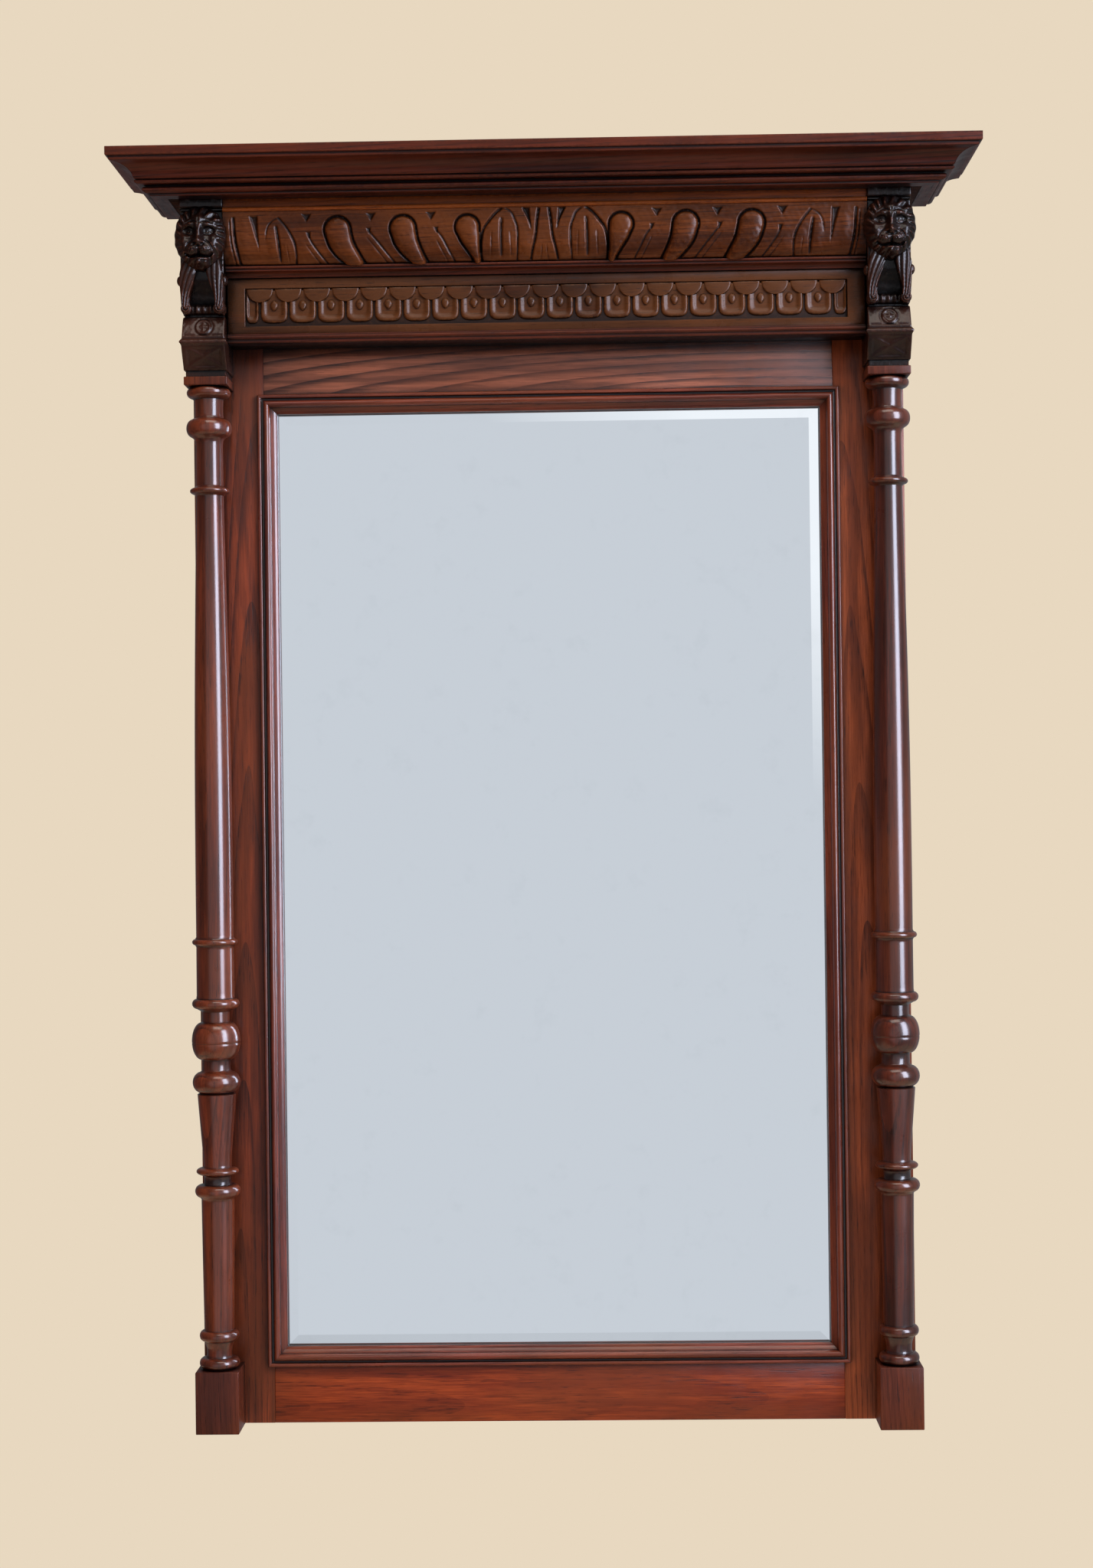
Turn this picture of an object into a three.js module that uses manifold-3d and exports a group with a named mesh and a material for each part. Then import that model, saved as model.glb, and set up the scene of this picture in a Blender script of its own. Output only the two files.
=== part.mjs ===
// Wall-hung pier mirror: a framed, bevelled mirror plate between two turned columns,
// which carry brackets with carved masks, a carved frieze and a mitred cornice.
// Millimetres, +Z up, +X to the right, -Y to the viewer, +Y to the wall.
// The origin is the middle of the back, in the plane of the wall.

import * as THREE from 'three';
import { mergeVertices } from 'three/addons/utils/BufferGeometryUtils.js';
import { ConvexGeometry } from 'three/addons/geometries/ConvexGeometry.js';
import Module from 'manifold-3d';

const wasm = await Module();
wasm.setup();

// ---------------------------------------------------------------- driving dimensions

// clearances
const seat = 0.3; // round a piece that is let into another
const mitreGap = 0.15; // at each side of a mitre
const boardGap = 0.5; // between two backboards
const tenonEnd = 1; // past a tenon's end, in its mortise

// overall layout
const columnSpacing = 880; // axis to axis
const columnHeight = 1274;
const stileFace = 31.3; // stile seen between the plinth block and the moulding
const bottomRailFace = 74.3; // rail seen under the moulding
const topRailFace = 59.3; // rail seen between the moulding and the frieze

// columns and what they stand on
const plinthWidth = 56;
const plinthDepth = 60;
const plinthHeight = 80;
const columnStandOff = 32; // column axis in front of the frame
const pinRadius = 9;
const bottomPinLength = 20;
const abacusHeight = 11;
const bodyRadius = 24.3; // fullest radius of the long shaft

// brackets and masks
const corbelHeight = 223;
const corbelDepth = 84;
const corbelNeck = 8; // dark recess over the abacus
const footDepth = 58;
const footSwell = 80;
const maskHalfWidth = 34;
const maskHeight = 112;
const maskDepth = 40;
const maskDrop = 15; // below the bracket's top moulding

// frame
const frameThickness = 24;
const stileEdgeSet = 3; // stile's outer edge inside the plinth block's
const tenonThickness = 8;
const tenonLength = 30;
const tenonShoulder = 10;
const topRailHidden = 32; // top rail behind the frieze
const rebateWidth = 10;

// moulding round the glass
const mouldingWidth = 24.7;
const mouldingLap = 7.7; // over the front of the frame
const mouldingProud = 10;

// mirror plate and backboards
const glassThickness = 6;
const glassLap = 8; // under the moulding
const bevelWidth = 22;
const bevelDepth = 2.8;
const boardThickness = 9;
const boardCount = 5;
const glassBlockLength = 60;
const glassBlockInset = 160; // block's middle from the corner of the sight size

// frieze, from the bottom up
const friezeBack = 32; // back of the frieze boards in front of the frame
const baseMouldHeight = 12;
const baseMouldDepth = 52;
const friezeHeight = 72;
const friezeDepth = 50;
const architraveHeight = 13;
const architraveDepth = 65;
const ovoloHeight = 66;
const ovoloTopDepth = 82;
const ovoloFootDepth = 58;
const filletHeight = 17;
const filletDepth = 80;
const beadHeight = 6;
const beadDepth = 85;
const panelRecess = 5;
const panelProud = 3.5;
const panelSideBand = 23;
const panelLowBand = 10;
const panelTopBand = 13;
const soffitThickness = 10;
const soffitSet = 1; // soffit above the frieze's lower edge
const glueBlockLeg = 28;
const glueBlockLength = 60;
const glueBlockCount = 3;
const glueBlockSpacing = 250;

// cornice
const corniceOverhang = 33; // base past the side of the bracket
const corniceFrontOverhang = 21; // base past the front of the bracket
const corniceProjection = 48;
const corniceHeight = 52;
const corniceWood = 20; // behind the base of the moulding
const bedThickness = 12;
const topBoardThickness = 8;
const topBoardSet = 24; // top board's edge inside the top fascia
const backRailThickness = 20;

// hanging plates
const hangRailHeight = 65;
const hangRailThickness = 17;
const hangRailFront = 1; // behind the face of the frame
const hangRailAboveTopRail = 40;
const hangInset = 93; // plate's middle from the inner edge of the stile
const plateThickness = 3;
const plateWidth = 24;
const plateTail = 48; // over the rail
const eyeRadius = 15;
const eyeHole = 6;
const eyeRise = 17; // eye's centre above the rail
const screwRadius = 2;
const screwHeadRadius = 4;
const screwHeadHeight = 2.2;
const screwLength = 15; // in the rail
const screwPitch = 24;
const screwInset = 12; // upper screw below the rail's top edge

// ---------------------------------------------------------------- derived positions

const axisX = columnSpacing / 2;
const blockInner = axisX - plinthWidth / 2;
const blockOuter = axisX + plinthWidth / 2;
const abacusBottom = plinthHeight + columnHeight;
const corbelBottom = abacusBottom + abacusHeight;
const bedLevel = corbelBottom + corbelHeight;
const topLevel = bedLevel + corniceHeight;

const filletBottom = bedLevel - filletHeight;
const ovoloBottom = filletBottom - ovoloHeight;
const architraveBottom = ovoloBottom - architraveHeight;
const friezeBoardBottom = architraveBottom - friezeHeight;
const friezeBottom = friezeBoardBottom - baseMouldHeight;
const friezeHalf = blockInner - seat;

const mouldOuter = blockInner - stileFace;
const sightHalf = mouldOuter - mouldingWidth;
const openingHalf = mouldOuter - mouldingLap;
const sightBottom = bottomRailFace + mouldingWidth;
const sightTop = friezeBottom - topRailFace - mouldingWidth;
const sightMiddle = (sightBottom + sightTop) / 2;
const sightHalfHeight = (sightTop - sightBottom) / 2;
const openingBottom = bottomRailFace + mouldingLap;
const openingTop = friezeBottom - topRailFace - mouldingLap;
const rebateHalf = openingHalf + rebateWidth;
const rebateBottom = openingBottom - rebateWidth;
const rebateTop = openingTop + rebateWidth;
const stileOuter = blockOuter - stileEdgeSet;
const topRailTop = friezeBottom + topRailHidden;
const hangRailBottom = topRailTop + hangRailAboveTopRail;
const hangRailTop = hangRailBottom + hangRailHeight;
const hangRailBack = hangRailFront + hangRailThickness;
const hangX = openingHalf - hangInset;

const boardFront = frameThickness - boardThickness;
const glassBack = boardFront - seat;
const glassFront = glassBack - glassThickness;
const glassEdgeFront = glassFront + bevelDepth;
const bevelAtSight = (bevelDepth * (bevelWidth - glassLap)) / bevelWidth;
const lipBack = glassFront + bevelAtSight - seat;
const glassHalf = sightHalf + glassLap;
const glassHalfHeight = sightHalfHeight + glassLap;

const corniceBaseHalf = blockOuter + corniceOverhang;
const corniceBaseFront = corbelDepth + corniceFrontOverhang;
const bedHalf = corniceBaseHalf - corniceWood;
const bedFront = corniceBaseFront - corniceWood;

// ---------------------------------------------------------------- geometry helpers

const finishes = {
  frame: { color: 0x6a3020, roughness: 0.34 },
  rail: { color: 0x7a3824, roughness: 0.34 },
  moulding: { color: 0x5e2a1e, roughness: 0.28 },
  column: { color: 0x4e221c, roughness: 0.24 },
  carving: { color: 0x6b3d22, roughness: 0.42 },
  bracket: { color: 0x3c1f1a, roughness: 0.36 },
  cornice: { color: 0x4a1f17, roughness: 0.32 },
  inside: { color: 0xa5835a, roughness: 0.8 },
  mirror: { color: 0xc7cfd7, roughness: 0.04, metalness: 1 },
  iron: { color: 0x3a3734, roughness: 0.6, metalness: 0.85 },
};

/** Keeps only positions and merges the shared vertices, so that the surface is closed. */
function weld(geometry) {
  const bare = geometry.index ? geometry.toNonIndexed() : geometry.clone();
  bare.deleteAttribute('normal');
  bare.deleteAttribute('uv');
  return mergeVertices(bare, 1e-4);
}

/** Turns a closed geometry into a solid for cutting and joining. */
function solid(geometry) {
  const bare = weld(geometry);
  const mesh = new wasm.Mesh({
    numProp: 3,
    vertProperties: new Float32Array(bare.attributes.position.array),
    triVerts: new Uint32Array(bare.index.array),
  });
  return new wasm.Manifold(mesh);
}

/** Turns a solid back into a geometry. */
function geometryOf(body) {
  const mesh = body.getMesh();
  const geometry = new THREE.BufferGeometry();
  geometry.setAttribute('position', new THREE.BufferAttribute(mesh.vertProperties, 3));
  geometry.setIndex(new THREE.BufferAttribute(mesh.triVerts, 1));
  return geometry;
}

function cut(geometry, ...tools) {
  let body = solid(geometry);
  for (const tool of tools) body = body.subtract(solid(tool));
  return geometryOf(body);
}

function join(geometry, ...others) {
  let body = solid(geometry);
  for (const other of others) body = body.add(solid(other));
  return geometryOf(body);
}

/** Box between two corners. */
function box([x0, y0, z0], [x1, y1, z1]) {
  const geometry = new THREE.BoxGeometry(Math.abs(x1 - x0), Math.abs(y1 - y0), Math.abs(z1 - z0));
  return geometry.translate((x0 + x1) / 2, (y0 + y1) / 2, (z0 + z1) / 2);
}

/** Outline in y and z, drawn out along x from x0 to x1. */
function prismX(outline, x0, x1) {
  const shape = new THREE.Shape(outline.map(([y, z]) => new THREE.Vector2(y, z)));
  const geometry = new THREE.ExtrudeGeometry(shape, { depth: x1 - x0, bevelEnabled: false });
  const toRow = new THREE.Matrix4().makeBasis(
    new THREE.Vector3(0, 1, 0),
    new THREE.Vector3(0, 0, 1),
    new THREE.Vector3(1, 0, 0),
  );
  return geometry.applyMatrix4(toRow).translate(x0, 0, 0);
}

/** Round body about a vertical axis, from a profile of [radius, height] pairs. */
function turned(profile, segments = 18) {
  const points = profile.map(([r, z]) => new THREE.Vector2(r, z));
  return new THREE.LatheGeometry(points, segments).rotateX(Math.PI / 2);
}

/** Upright cylinder from z0 to z1. */
function drill(radius, x, y, z0, z1) {
  const geometry = new THREE.CylinderGeometry(radius, radius, z1 - z0, 20);
  return geometry.rotateX(Math.PI / 2).translate(x, y, (z0 + z1) / 2);
}

/** Arc of [a, b] points round a centre, with the angles in degrees. */
function arc(a, b, ra, rb, from, to, steps = 6) {
  return Array.from({ length: steps + 1 }, (_, i) => {
    const t = THREE.MathUtils.degToRad(from + ((to - from) * i) / steps);
    return [a + ra * Math.cos(t), b + rb * Math.sin(t)];
  });
}

/**
 * Bar of one profile between two ends that may be mitred.
 * place(outward, other, end) gives the point of one profile point at end 0 or end 1.
 */
function bar(profile, place) {
  const shape = new THREE.Shape(profile.map(([a, b]) => new THREE.Vector2(a, b)));
  const geometry = weld(new THREE.ExtrudeGeometry(shape, { depth: 1, bevelEnabled: false }));
  const position = geometry.attributes.position;
  for (let i = 0; i < position.count; i += 1) {
    const point = place(position.getX(i), position.getY(i), Math.round(position.getZ(i)));
    position.setXYZ(i, ...point);
  }
  return facingOut(geometry);
}

/** Turns every face over where the closed surface is inside out. */
function facingOut(geometry) {
  const p = geometry.attributes.position;
  const index = geometry.index.array;
  const [a, b, c] = [new THREE.Vector3(), new THREE.Vector3(), new THREE.Vector3()];
  let volume = 0;
  for (let i = 0; i < index.length; i += 3) {
    a.fromBufferAttribute(p, index[i]);
    b.fromBufferAttribute(p, index[i + 1]);
    c.fromBufferAttribute(p, index[i + 2]);
    volume += a.dot(b.cross(c));
  }
  if (volume < 0) {
    for (let i = 0; i < index.length; i += 3) {
      [index[i + 1], index[i + 2]] = [index[i + 2], index[i + 1]];
    }
  }
  return geometry;
}

const part = new THREE.Group();
const body = new THREE.Group();
body.position.set(0, -frameThickness, -topLevel / 2);
part.add(body);

/** Adds one named piece to a group. */
function piece(group, name, geometry, finish) {
  const material = new THREE.MeshStandardMaterial({ metalness: 0, ...finishes[finish] });
  const mesh = new THREE.Mesh(geometry, material);
  mesh.name = name;
  group.add(mesh);
  return mesh;
}

const sides = [
  ['left', -1],
  ['right', 1],
];

// ---------------------------------------------------------------- frame

const carcase = new THREE.Group();
body.add(carcase);

const tenonFront = (frameThickness - tenonThickness) / 2 - 1;
const hangTenonFront = hangRailFront + (hangRailThickness - tenonThickness) / 2;

/** One tenon or, with play round it, its mortise, on the side given by sign. */
function tenon(sign, front, z0, z1, play = 0) {
  const root = openingHalf - (play ? 2 * seat : rebateWidth);
  const tip = openingHalf + tenonLength + (play ? tenonEnd : 0);
  return box(
    [sign * root, front - play, z0 + tenonShoulder - play],
    [sign * tip, front + tenonThickness + play, z1 - tenonShoulder + play],
  );
}

const railSpans = [
  [tenonFront, 0, openingBottom],
  [tenonFront, openingTop, topRailTop],
  [hangTenonFront, hangRailBottom, hangRailTop],
];

for (const [label, sign] of sides) {
  const blank = box([sign * openingHalf, 0, 0], [sign * stileOuter, frameThickness, bedLevel]);
  const rebate = box(
    [sign * (openingHalf - 1), boardFront, rebateBottom],
    [sign * rebateHalf, frameThickness + 1, rebateTop],
  );
  const mortises = railSpans.map(([front, z0, z1]) => tenon(sign, front, z0, z1, seat));
  piece(carcase, `stile_${label}`, cut(blank, rebate, ...mortises), 'frame');
}

/** Rail between the stiles, with a tenon at each end. */
function rail(y0, y1, z0, z1, front) {
  const blank = box([-openingHalf, y0, z0], [openingHalf, y1, z1]);
  return join(blank, ...sides.map(([, sign]) => tenon(sign, front, z0, z1)));
}

const bottomRebate = box(
  [-openingHalf - 1, boardFront, rebateBottom],
  [openingHalf + 1, frameThickness + 1, openingBottom + 1],
);
const topRebate = box(
  [-openingHalf - 1, boardFront, openingTop - 1],
  [openingHalf + 1, frameThickness + 1, rebateTop],
);
const bottomRail = rail(0, frameThickness, 0, openingBottom, tenonFront);
piece(carcase, 'bottom_rail', cut(bottomRail, bottomRebate), 'rail');
const topRail = rail(0, frameThickness, openingTop, topRailTop, tenonFront);
piece(carcase, 'top_rail', cut(topRail, topRebate), 'rail');

// ---------------------------------------------------------------- hanging rail, plates, screws

const screwLevels = [hangRailTop - screwInset, hangRailTop - screwInset - screwPitch];
const pilots = [];
for (const [, sign] of sides) {
  for (const z of screwLevels) {
    const pilot = new THREE.CylinderGeometry(
      screwRadius + seat,
      screwRadius + seat,
      screwLength + 2 * seat,
      16,
    );
    const middle = hangRailBack - (screwLength + seat) / 2 + seat / 2;
    pilots.push(pilot.translate(sign * hangX, middle, z));
  }
}
const hangRail = rail(hangRailFront, hangRailBack, hangRailBottom, hangRailTop, hangTenonFront);
piece(carcase, 'hanging_rail', cut(hangRail, ...pilots), 'inside');

/** Flat iron plate with a tail for two screws and an eye for the hook. */
function hangingPlate() {
  const half = plateWidth / 2;
  const join0 = Math.asin(half / eyeRadius);
  const shape = new THREE.Shape();
  shape.moveTo(-half, -plateTail);
  shape.lineTo(half, -plateTail);
  shape.lineTo(half, eyeRise - eyeRadius * Math.cos(join0));
  shape.absarc(0, eyeRise, eyeRadius, join0 - Math.PI / 2, 1.5 * Math.PI - join0, false);
  shape.closePath();
  const hole = new THREE.Path().absarc(0, eyeRise, eyeHole, 0, 2 * Math.PI, true);
  shape.holes.push(hole);
  for (const z of screwLevels) {
    const shank = new THREE.Path();
    shape.holes.push(shank.absarc(0, z - hangRailTop, screwRadius + seat, 0, 2 * Math.PI, true));
  }
  const options = { depth: plateThickness, bevelEnabled: false, curveSegments: 14 };
  return new THREE.ExtrudeGeometry(shape, options).rotateX(Math.PI / 2);
}

/** Round-headed screw along y, its head to the wall and its seat at y = 0. */
function screw() {
  const grip = plateThickness + screwLength;
  const profile = [
    [0, -grip],
    [screwRadius * 0.4, -grip],
    [screwRadius, -grip + 3],
    [screwRadius, 0],
    [screwHeadRadius, 0],
    [screwHeadRadius * 0.92, screwHeadHeight * 0.5],
    [screwHeadRadius * 0.6, screwHeadHeight * 0.9],
    [0, screwHeadHeight],
  ];
  return new THREE.LatheGeometry(profile.map(([r, y]) => new THREE.Vector2(r, y)), 16);
}

for (const [label, sign] of sides) {
  const plate = piece(carcase, `hanging_plate_${label}`, hangingPlate(), 'iron');
  plate.position.set(sign * hangX, hangRailBack + plateThickness, hangRailTop);
  screwLevels.forEach((z, i) => {
    const fixing = piece(carcase, `hanging_screw_${label}_${i + 1}`, screw(), 'iron');
    fixing.position.set(sign * hangX, hangRailBack + plateThickness, z);
  });
}

// ---------------------------------------------------------------- moulding round the glass

const mouldingProfile = [
  [0, lipBack],
  [0, 5],
  [1.5, 3.5],
  [6, 0.5],
  [8, -1.5],
  ...arc(12.6, -3.2, 4.4, mouldingProud - 3.2, 170, 10, 8).map(([w, y]) => [w, -6.4 - y]),
  [17.6, -3.4],
  [19.4, -3.4],
  [19.8, -6.2],
  [21, -7.4],
  [23.4, -7.4],
  [mouldingWidth, -6],
  [mouldingWidth, 0],
  [mouldingWidth - mouldingLap - seat, 0],
  [mouldingWidth - mouldingLap - seat, lipBack],
];

const glazing = new THREE.Group();
glazing.position.set(0, 0, sightMiddle);
body.add(glazing);

const mouldings = [
  ['top', 0, sightHalf, sightHalfHeight],
  ['right', Math.PI / 2, sightHalfHeight, sightHalf],
  ['bottom', Math.PI, sightHalf, sightHalfHeight],
  ['left', -Math.PI / 2, sightHalfHeight, sightHalf],
];
for (const [label, turn, half, offset] of mouldings) {
  const strip = bar(mouldingProfile, (w, y, end) => [
    (end ? 1 : -1) * (half + w - mitreGap),
    y,
    offset + w,
  ]);
  piece(glazing, `moulding_${label}`, strip, 'moulding').rotation.y = turn;
}

// ---------------------------------------------------------------- mirror plate, blocks, boards

/** Corners of a rectangle centred on the plate, at depth y. */
function corners(halfWidth, halfHeight, y) {
  return sides.flatMap(([, sx]) =>
    sides.map(([, sz]) => new THREE.Vector3(sx * halfWidth, y, sz * halfHeight)),
  );
}

const plateShape = new ConvexGeometry([
  ...corners(glassHalf, glassHalfHeight, glassBack),
  ...corners(glassHalf, glassHalfHeight, glassEdgeFront),
  ...corners(glassHalf - bevelWidth, glassHalfHeight - bevelWidth, glassFront),
]);
piece(glazing, 'mirror_plate', plateShape, 'mirror');

const openingHalfHeight = (openingTop - openingBottom) / 2;
const openingMiddle = (openingTop + openingBottom) / 2;
for (const [label, sign] of sides) {
  for (const [level, up] of [['lower', -1], ['upper', 1]]) {
    const z = up * (sightHalfHeight - glassBlockInset);
    const block = box(
      [sign * (glassHalf + seat), lipBack + seat, z - glassBlockLength / 2],
      [sign * openingHalf, boardFront - seat, z + glassBlockLength / 2],
    );
    piece(glazing, `glass_block_${label}_${level}`, block, 'inside');
  }
}
for (const [level, up] of [['bottom', -1], ['top', 1]]) {
  for (const [label, sign] of sides) {
    const x = sign * (sightHalf - glassBlockInset);
    const block = box(
      [x - glassBlockLength / 2, lipBack + seat, up * (glassHalfHeight + seat)],
      [
        x + glassBlockLength / 2,
        boardFront - seat,
        openingMiddle + up * openingHalfHeight - sightMiddle,
      ],
    );
    piece(glazing, `glass_block_${level}_${label}`, block, 'inside');
  }
}

const boardPitch = (2 * (rebateHalf - seat) + boardGap) / boardCount;
for (let i = 0; i < boardCount; i += 1) {
  const x0 = -(rebateHalf - seat) + i * boardPitch;
  const board = box(
    [x0, boardFront, rebateBottom + seat],
    [x0 + boardPitch - boardGap, frameThickness, rebateTop - seat],
  );
  piece(carcase, `backboard_${i + 1}`, board, 'inside');
}

// ---------------------------------------------------------------- columns, plinths, brackets

/** Ring of a given radius and half height, as profile points. */
function ring(radius, middle, half, root = radius - half * 0.9) {
  return arc(root, middle, radius - root, half, -78, 78, 4);
}

/** Column outline, as drawn 1274 high and with a shaft of radius 24.3. */
const rise = columnHeight / 1274;
const girth = bodyRadius / 24.3;
const columnProfile = [
  [22, 0],
  ...ring(26, 7.5, 7, 20),
  [17.5, 15],
  [16.3, 19],
  [16.6, 27],
  [19.5, 35],
  ...ring(25.6, 43, 6.5, 20.5),
  [19.4, 50],
  [20.4, 130],
  [21.3, 219],
  ...ring(29.4, 230.5, 8, 22),
  [17.6, 240],
  [17.6, 249.5],
  ...ring(27.4, 256, 4.5, 20),
  [18.2, 263],
  [19.4, 285],
  [22.3, 322],
  [25, 356],
  ...ring(31, 371.5, 13.5, 19.5),
  [18.2, 388],
  [18.2, 400],
  ...arc(19, 425, 12.4, 24, -80, 80, 8),
  [17.8, 450],
  [17.8, 463],
  ...ring(30.6, 473.5, 6.6, 23.5),
  [24.7, 482],
  [24.3, 548],
  ...ring(29.6, 553.5, 4, 25),
  [24.3, 560],
  [24.3, 640],
  [23.8, 760],
  [22.5, 880],
  [20.4, 1000],
  [18.4, 1100],
  [18, 1134],
  ...ring(25.6, 1139.5, 4, 20),
  [18, 1146],
  [17.7, 1202],
  [20.5, 1208],
  ...arc(22, 1221, 7.4, 11, -70, 70, 6),
  [19, 1234],
  [18.6, 1252],
  [19.5, 1260],
  ...ring(28.4, 1267, 7, 21),
];

const turnedProfile = [
  [0, -bottomPinLength],
  [pinRadius, -bottomPinLength],
  [pinRadius, 0],
  ...columnProfile.map(([r, z]) => [r * girth, z * rise]),
  [pinRadius, columnHeight],
  [pinRadius, columnHeight + abacusHeight - seat],
  [0, columnHeight + abacusHeight - seat],
];

/** Bracket outline in depth and height, with its front to -y and its foot at z = 0. */
const h = corbelHeight;
const corbelOutline = [
  [0, 0],
  [-footDepth + 4, 0],
  [-footDepth + 4, corbelNeck],
  [-footDepth, corbelNeck],
  [-footSwell + 3, corbelNeck + 29],
  ...arc(-footSwell + 4, corbelNeck + 33.5, 4, 3.5, 240, 120, 4),
  [-footSwell + 5, corbelNeck + 39],
  [-footDepth - 4, h - 147],
  [-footDepth, h - 145],
  ...arc(-footDepth, h - 137.5, 7, 6.5, 260, 100, 6),
  [-footDepth, h - 130],
  [-footDepth - 3, h - 124],
  [-footDepth - 12, h - 108],
  [-corbelDepth + 8, h - 90],
  [-corbelDepth + 8, h - 14],
  [-corbelDepth + 5, h - 12],
  ...arc(-corbelDepth + 4, h - 8, 4, 4, 250, 180, 3),
  [-corbelDepth, h],
  [0, h],
];
const maskBack = corbelDepth - 8 + seat;
const maskFree = beadDepth + seat - maskBack; // the mask widens in front of the frieze's bead

for (const [label, sign] of sides) {
  const stand = new THREE.Group();
  stand.position.set(sign * axisX, 0, 0);
  body.add(stand);
  const half = plinthWidth / 2;

  const block = box([-half, -plinthDepth, 0], [half, 0, plinthHeight]);
  const socket = drill(
    pinRadius + seat,
    0,
    -columnStandOff,
    plinthHeight - bottomPinLength - tenonEnd,
    plinthHeight + 1,
  );
  piece(stand, `plinth_block_${label}`, cut(block, socket), 'column');

  const column = piece(stand, `column_${label}`, turned(turnedProfile), 'column');
  column.position.set(0, -columnStandOff, plinthHeight);

  const cap = box([-half, -plinthDepth, abacusBottom], [half, 0, corbelBottom]);
  const bore = drill(pinRadius + seat, 0, -columnStandOff, abacusBottom - 1, corbelBottom + 1);
  piece(stand, `abacus_${label}`, cut(cap, bore), 'column');

  const corbel = piece(stand, `bracket_${label}`, prismX(corbelOutline, -half, half), 'bracket');
  corbel.position.z = corbelBottom;

  const head = new THREE.SphereGeometry(1, 16, 12).rotateX(Math.PI / 2);
  head.scale(maskHalfWidth, maskDepth, maskHeight / 2);
  const past = 2 * maskHalfWidth;
  const behind = box([-past, 0, -maskHeight], [past, past, maskHeight]);
  const cheeks = sides.map(([, side]) =>
    box([side * (half - seat), -maskFree, -maskHeight], [side * past, past, maskHeight]),
  );
  const mask = piece(stand, `mask_${label}`, cut(head, behind, ...cheeks), 'bracket');
  mask.position.set(0, -maskBack, bedLevel - maskDrop - maskHeight / 2);
}

// ---------------------------------------------------------------- frieze

const entablature = new THREE.Group();
body.add(entablature);

const b = friezeBack;
const baseMould = [
  [-b, 0],
  [-baseMouldDepth + 6, 0],
  [-baseMouldDepth + 3, 1.5],
  [-baseMouldDepth + 3, 4.5],
  ...arc(-baseMouldDepth + 2.5, baseMouldHeight - 4, 2.5, 2.5, 250, 110, 5),
  [-friezeDepth, baseMouldHeight - 0.8],
  [-friezeDepth, baseMouldHeight],
  [-b, baseMouldHeight],
];
const baseStrip = prismX(baseMould, -friezeHalf, friezeHalf);
piece(entablature, 'frieze_base_moulding', baseStrip, 'cornice').position.z = friezeBottom;

const friezeBlank = box(
  [-friezeHalf, -friezeDepth, friezeBoardBottom],
  [friezeHalf, -b, architraveBottom],
);
const fieldHalf = friezeHalf - panelSideBand;
const fieldBottom = friezeBoardBottom + panelLowBand;
const fieldTop = architraveBottom - panelTopBand;
const field = box(
  [-fieldHalf, -friezeDepth - 1, fieldBottom],
  [fieldHalf, -friezeDepth + panelRecess, fieldTop],
);
piece(entablature, 'frieze_board', cut(friezeBlank, field), 'carving');

const panel = box(
  [-fieldHalf + seat, -friezeDepth + panelRecess - panelProud, fieldBottom + seat],
  [fieldHalf - seat, -friezeDepth + panelRecess, fieldTop - seat],
);
piece(entablature, 'frieze_scale_panel', panel, 'carving');

const a = architraveDepth;
const architrave = [
  [-b, 0],
  [-friezeDepth - 3, 0],
  [-friezeDepth - 4, 3],
  [-a + 7, 6],
  [-a + 3, 7],
  [-a + 3, 9.5],
  [-a, 10.5],
  [-a, architraveHeight],
  [-b, architraveHeight],
];
const architraveStrip = prismX(architrave, -friezeHalf, friezeHalf);
piece(entablature, 'architrave_moulding', architraveStrip, 'cornice').position.z = architraveBottom;

const ovolo = [
  [-b, 0],
  ...arc(-ovoloFootDepth, ovoloHeight, ovoloTopDepth - ovoloFootDepth, ovoloHeight, 270, 180, 12),
  [-b, ovoloHeight],
];
const ovoloBoard = prismX(ovolo, -friezeHalf, friezeHalf);
piece(entablature, 'frieze_ovolo', ovoloBoard, 'carving').position.z = ovoloBottom;

const fillet = [
  [-b, 0],
  [-ovoloTopDepth, 0],
  ...arc(-ovoloTopDepth, beadHeight / 2, beadDepth - ovoloTopDepth, beadHeight / 2, 250, 110, 5),
  [-filletDepth, beadHeight],
  [-filletDepth, filletHeight],
  [-b, filletHeight],
];
const filletStrip = prismX(fillet, -friezeHalf, friezeHalf);
piece(entablature, 'frieze_fillet', filletStrip, 'carving').position.z = filletBottom;

const soffitBottom = friezeBottom + soffitSet;
const soffit = box([-friezeHalf, -b, soffitBottom], [friezeHalf, 0, soffitBottom + soffitThickness]);
piece(entablature, 'frieze_soffit', soffit, 'cornice');

for (let i = 0; i < glueBlockCount; i += 1) {
  const x = (i - (glueBlockCount - 1) / 2) * glueBlockSpacing;
  const corner = [
    [-b, bedLevel - glueBlockLeg],
    [-b + glueBlockLeg, bedLevel],
    [-b, bedLevel],
  ];
  const block = prismX(corner, x - glueBlockLength / 2, x + glueBlockLength / 2);
  piece(entablature, `glue_block_${i + 1}`, block, 'inside');
}

// ---------------------------------------------------------------- cornice

const p = corniceProjection;
const topStep = corniceHeight - topBoardThickness;
const corniceProfile = [
  [-corniceWood, 0],
  [0, 0],
  [0, 2.5],
  ...arc(2, 6.8, 6.5, 4.2, -80, 70, 6),
  [5, 11.8],
  [9, 12.4],
  ...arc(13, 15, 4, 2.6, -80, 70, 5),
  [16.5, 18.2],
  ...arc(42, 18.4, 24, 17.6, 172, 100, 7).map(([out, up]) => [out, 18.4 + (up - 18.4) * 0.98]),
  [p - 4, 36.4],
  [p - 4, 40.4],
  [p, 41.2],
  [p, corniceHeight],
  [p - topBoardSet, corniceHeight],
  [p - topBoardSet, topStep],
  [-corniceWood, topStep],
];

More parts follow.
